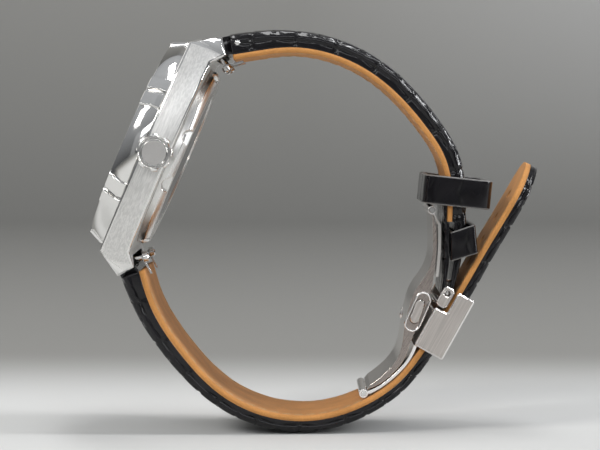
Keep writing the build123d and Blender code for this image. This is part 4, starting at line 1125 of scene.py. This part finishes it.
def large_place(x, y, z):
    """Turned by 6 degrees about Y: X = x cos + z sin, Z = -x sin + z cos."""
    c, s = math.cos(LARGE_TILT), math.sin(LARGE_TILT)
    return np.stack([LARGE_CENTRE[0] + x * c + z * s, y, LARGE_CENTRE[1] - x * s + z * c], -1)


def small_place(x, y, z):
    """The sheared loop: its four corners' X and Z, mixed by the shares u along and v up it."""
    u = x / SMALL_LENGTH + 0.5
    v = z / SMALL_HEIGHT + 0.5
    px = 27.08 * (1 - u) + (32.36 * (1 - v) + 31.74 * v) * u
    pz = (-8.72 * (1 - u) - 7.12 * u) * (1 - v) + (-3.24 * (1 - u) - 1.68 * u) * v
    return np.stack([px, y, pz], -1)


def button_rim(side, name):
    """A bright bead round a side button of the clasp: a circle of 0.26 mm carried round a slot
    outline on the blade's flank, which leans by 66 degrees."""
    low, high = (np.array(corner) * 1000 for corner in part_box("clasp_button_" + name))
    centre = (low + high) / 2
    flank = (high[1] if side > 0 else low[1]) - side * RIM_INSET
    points, outs = rounded_loop(*RIM_SLOT, 96)
    turn = np.linspace(0, 2 * math.pi, 12, endpoint=False)
    u = points[:, :1] + outs[:, :1] * RIM_BEAD * np.cos(turn)
    v = points[:, 1:] + outs[:, 1:] * RIM_BEAD * np.cos(turn) - RIM_DROP
    y = flank + side * RIM_BEAD * np.sin(turn) + 0 * u
    c, s = math.cos(RIM_LEAN), math.sin(RIM_LEAN)
    rings = np.stack([centre[0] + u * c - v * s, y, centre[2] + u * s + v * c], -1)
    sweep_piece("button_rim_" + name, rings, "clasp_base", [CLASP_BRIGHT], closed=True)


keeper("large_keeper_leather", "large_keeper", "large_keeper", large_place,
       length=12.86, width=22.56, wall=1.0, height=5.46, radius=2.6, seed=41, dent_pitch=9.2)
keeper("small_keeper_leather", "small_keeper", "watch", small_place,
       length=SMALL_LENGTH, width=21.9, wall=0.72, height=SMALL_HEIGHT, radius=0.9, seed=43,
       dent_pitch=6.4)
button_rim(-1, "crown_side")
button_rim(1, "far_side")


# Stage, light and camera

low_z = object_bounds()[0][2] * 1000
FLOOR_FRONT = -1600
FLOOR_BACK = 800
FLOOR_SIDE = 1800
CURVE_RADIUS = 400
WALL_TOP = 1800


def sweep_backdrop():
    """A floor that curves up into a wall: a quarter round of 400 mm behind 800 mm of floor. The sheet is
    plain pale round the object. Behind it and far from it, the sheet takes the wall's greys, which are
    painted light and shade: lighter towards +X, darker low down."""
    floor = low_z - 0.05
    turn = np.radians(np.linspace(0, 90, 33))[1:]
    ys = np.concatenate([np.linspace(FLOOR_FRONT, FLOOR_BACK, 12), FLOOR_BACK + CURVE_RADIUS * np.sin(turn),
                         [FLOOR_BACK + CURVE_RADIUS]])
    zs = np.concatenate([np.zeros(12), CURVE_RADIUS * (1 - np.cos(turn)), [WALL_TOP]]) + floor
    x, y = np.meshgrid(np.linspace(-FLOOR_SIDE, FLOOR_SIDE, 5), ys, indexing="ij")
    points = np.stack([x, y, np.broadcast_to(zs, x.shape)], -1)
    faces = [grid_faces(*x.shape, wrap_columns=False)]
    t = Tree("backdrop")
    here = t.object_mm()
    x, y, z = t.parts(here)
    # Painted light and shade on the wall: lighter towards +X, and painted shade low down by the floor
    wall = t.blend(t.ramp(x, 0.0, 260.0), (0.62, 0.605, 0.57), (1.0, 0.99, 0.97))
    wall = t.blend(t.ramp(z, floor, low_z + 300.0), (0.27, 0.266, 0.252), wall)
    pale = t.blend(t.noise(here, 0.01, 2.0), (0.62, 0.622, 0.612), (0.65, 0.652, 0.642))
    # Behind the object and far from it, the sheet takes the wall's painted greys
    far = t.math("MAXIMUM", t.ramp(y, 30.0, 135.0), t.ramp(t.size(x, y), 170.0, 480.0))
    far = t.times(t.times(far, far), t.minus(3.0, t.times(far, 2.0)))
    material = t.finish(t.blend(far, pale, wall), 0.7, None, Specular_IOR_Level=0.2)
    return make_object("backdrop", points.reshape(-1, 3), faces, None, [material])


backdrop = sweep_backdrop()

WARM = (1.0, 0.985, 0.96)
COOL = (0.97, 0.985, 1.0)
BLUER = (0.97, 0.98, 1.0)

# Rectangular lamps in metres and watts, aimed at the origin
for name, place, size, power, colour in (
    ("key", (-0.42, -0.30, 0.42), (0.18, 0.18), 1.6, WARM),
    ("front", (0.0, -1.05, 0.10), (1.7, 0.8), 0.7, COOL),
    ("above front", (0.12, -0.85, 0.34), (1.0, 0.12), 1.9, COOL),
    ("left", (-0.62, 0.52, 0.40), (0.5, 0.4), 0.75, WARM),
    ("right", (1.10, -0.07, 0.42), (0.05, 0.95), 5.5, BLUER),
    ("high right", (0.71, -0.10, 0.85), (0.025, 1.0), 2.3, BLUER),
    ("top", (0.05, 0.02, 0.60), (0.3, 0.12), 1.1, (1, 1, 1)),
):
    light = bpy.data.lights.new(name, "AREA")
    light.shape = "RECTANGLE"
    light.size, light.size_y = size
    light.energy = power
    light.color = colour
    lamp = bpy.data.objects.new(name, light)
    lamp.location = place
    lamp.rotation_euler = (-Vector(place)).to_track_quat("-Z", "Y").to_euler()
    bpy.context.collection.objects.link(lamp)

# A dim sky, brighter overhead
studio = Tree("studio", bpy.data.worlds, "OutputWorld")
rise = studio.parts(studio.add("TexCoord", {}).outputs["Generated"])[2]
sky = {"Color": (0.93, 0.96, 1.0), "Strength": studio.ramp(rise, -0.05, 0.9, 0.08, 0.5)}
bpy.context.scene.world = studio.show(studio.add("Background", sky))

# The photograph's view: the camera looks at a place near the origin, in metres
DISTANCE = 0.414
ELEVATION = math.radians(2.836)
AIM_X = -0.00104
AIM_Z = -0.00238
camera_data = bpy.data.cameras.new("camera")
camera_data.lens = 129.6
camera_data.sensor_width = 36.0
camera_data.sensor_fit = "HORIZONTAL"
camera_data.clip_start = 0.01
camera_data.clip_end = 20
camera = bpy.data.objects.new("camera", camera_data)
camera.location = (AIM_X, -DISTANCE * math.cos(ELEVATION), AIM_Z + DISTANCE * math.sin(ELEVATION))
camera.rotation_euler = (math.pi / 2 - ELEVATION, 0, 0)
bpy.context.collection.objects.link(camera)
bpy.context.scene.camera = camera
bpy.context.scene.view_settings.view_transform = "Standard"
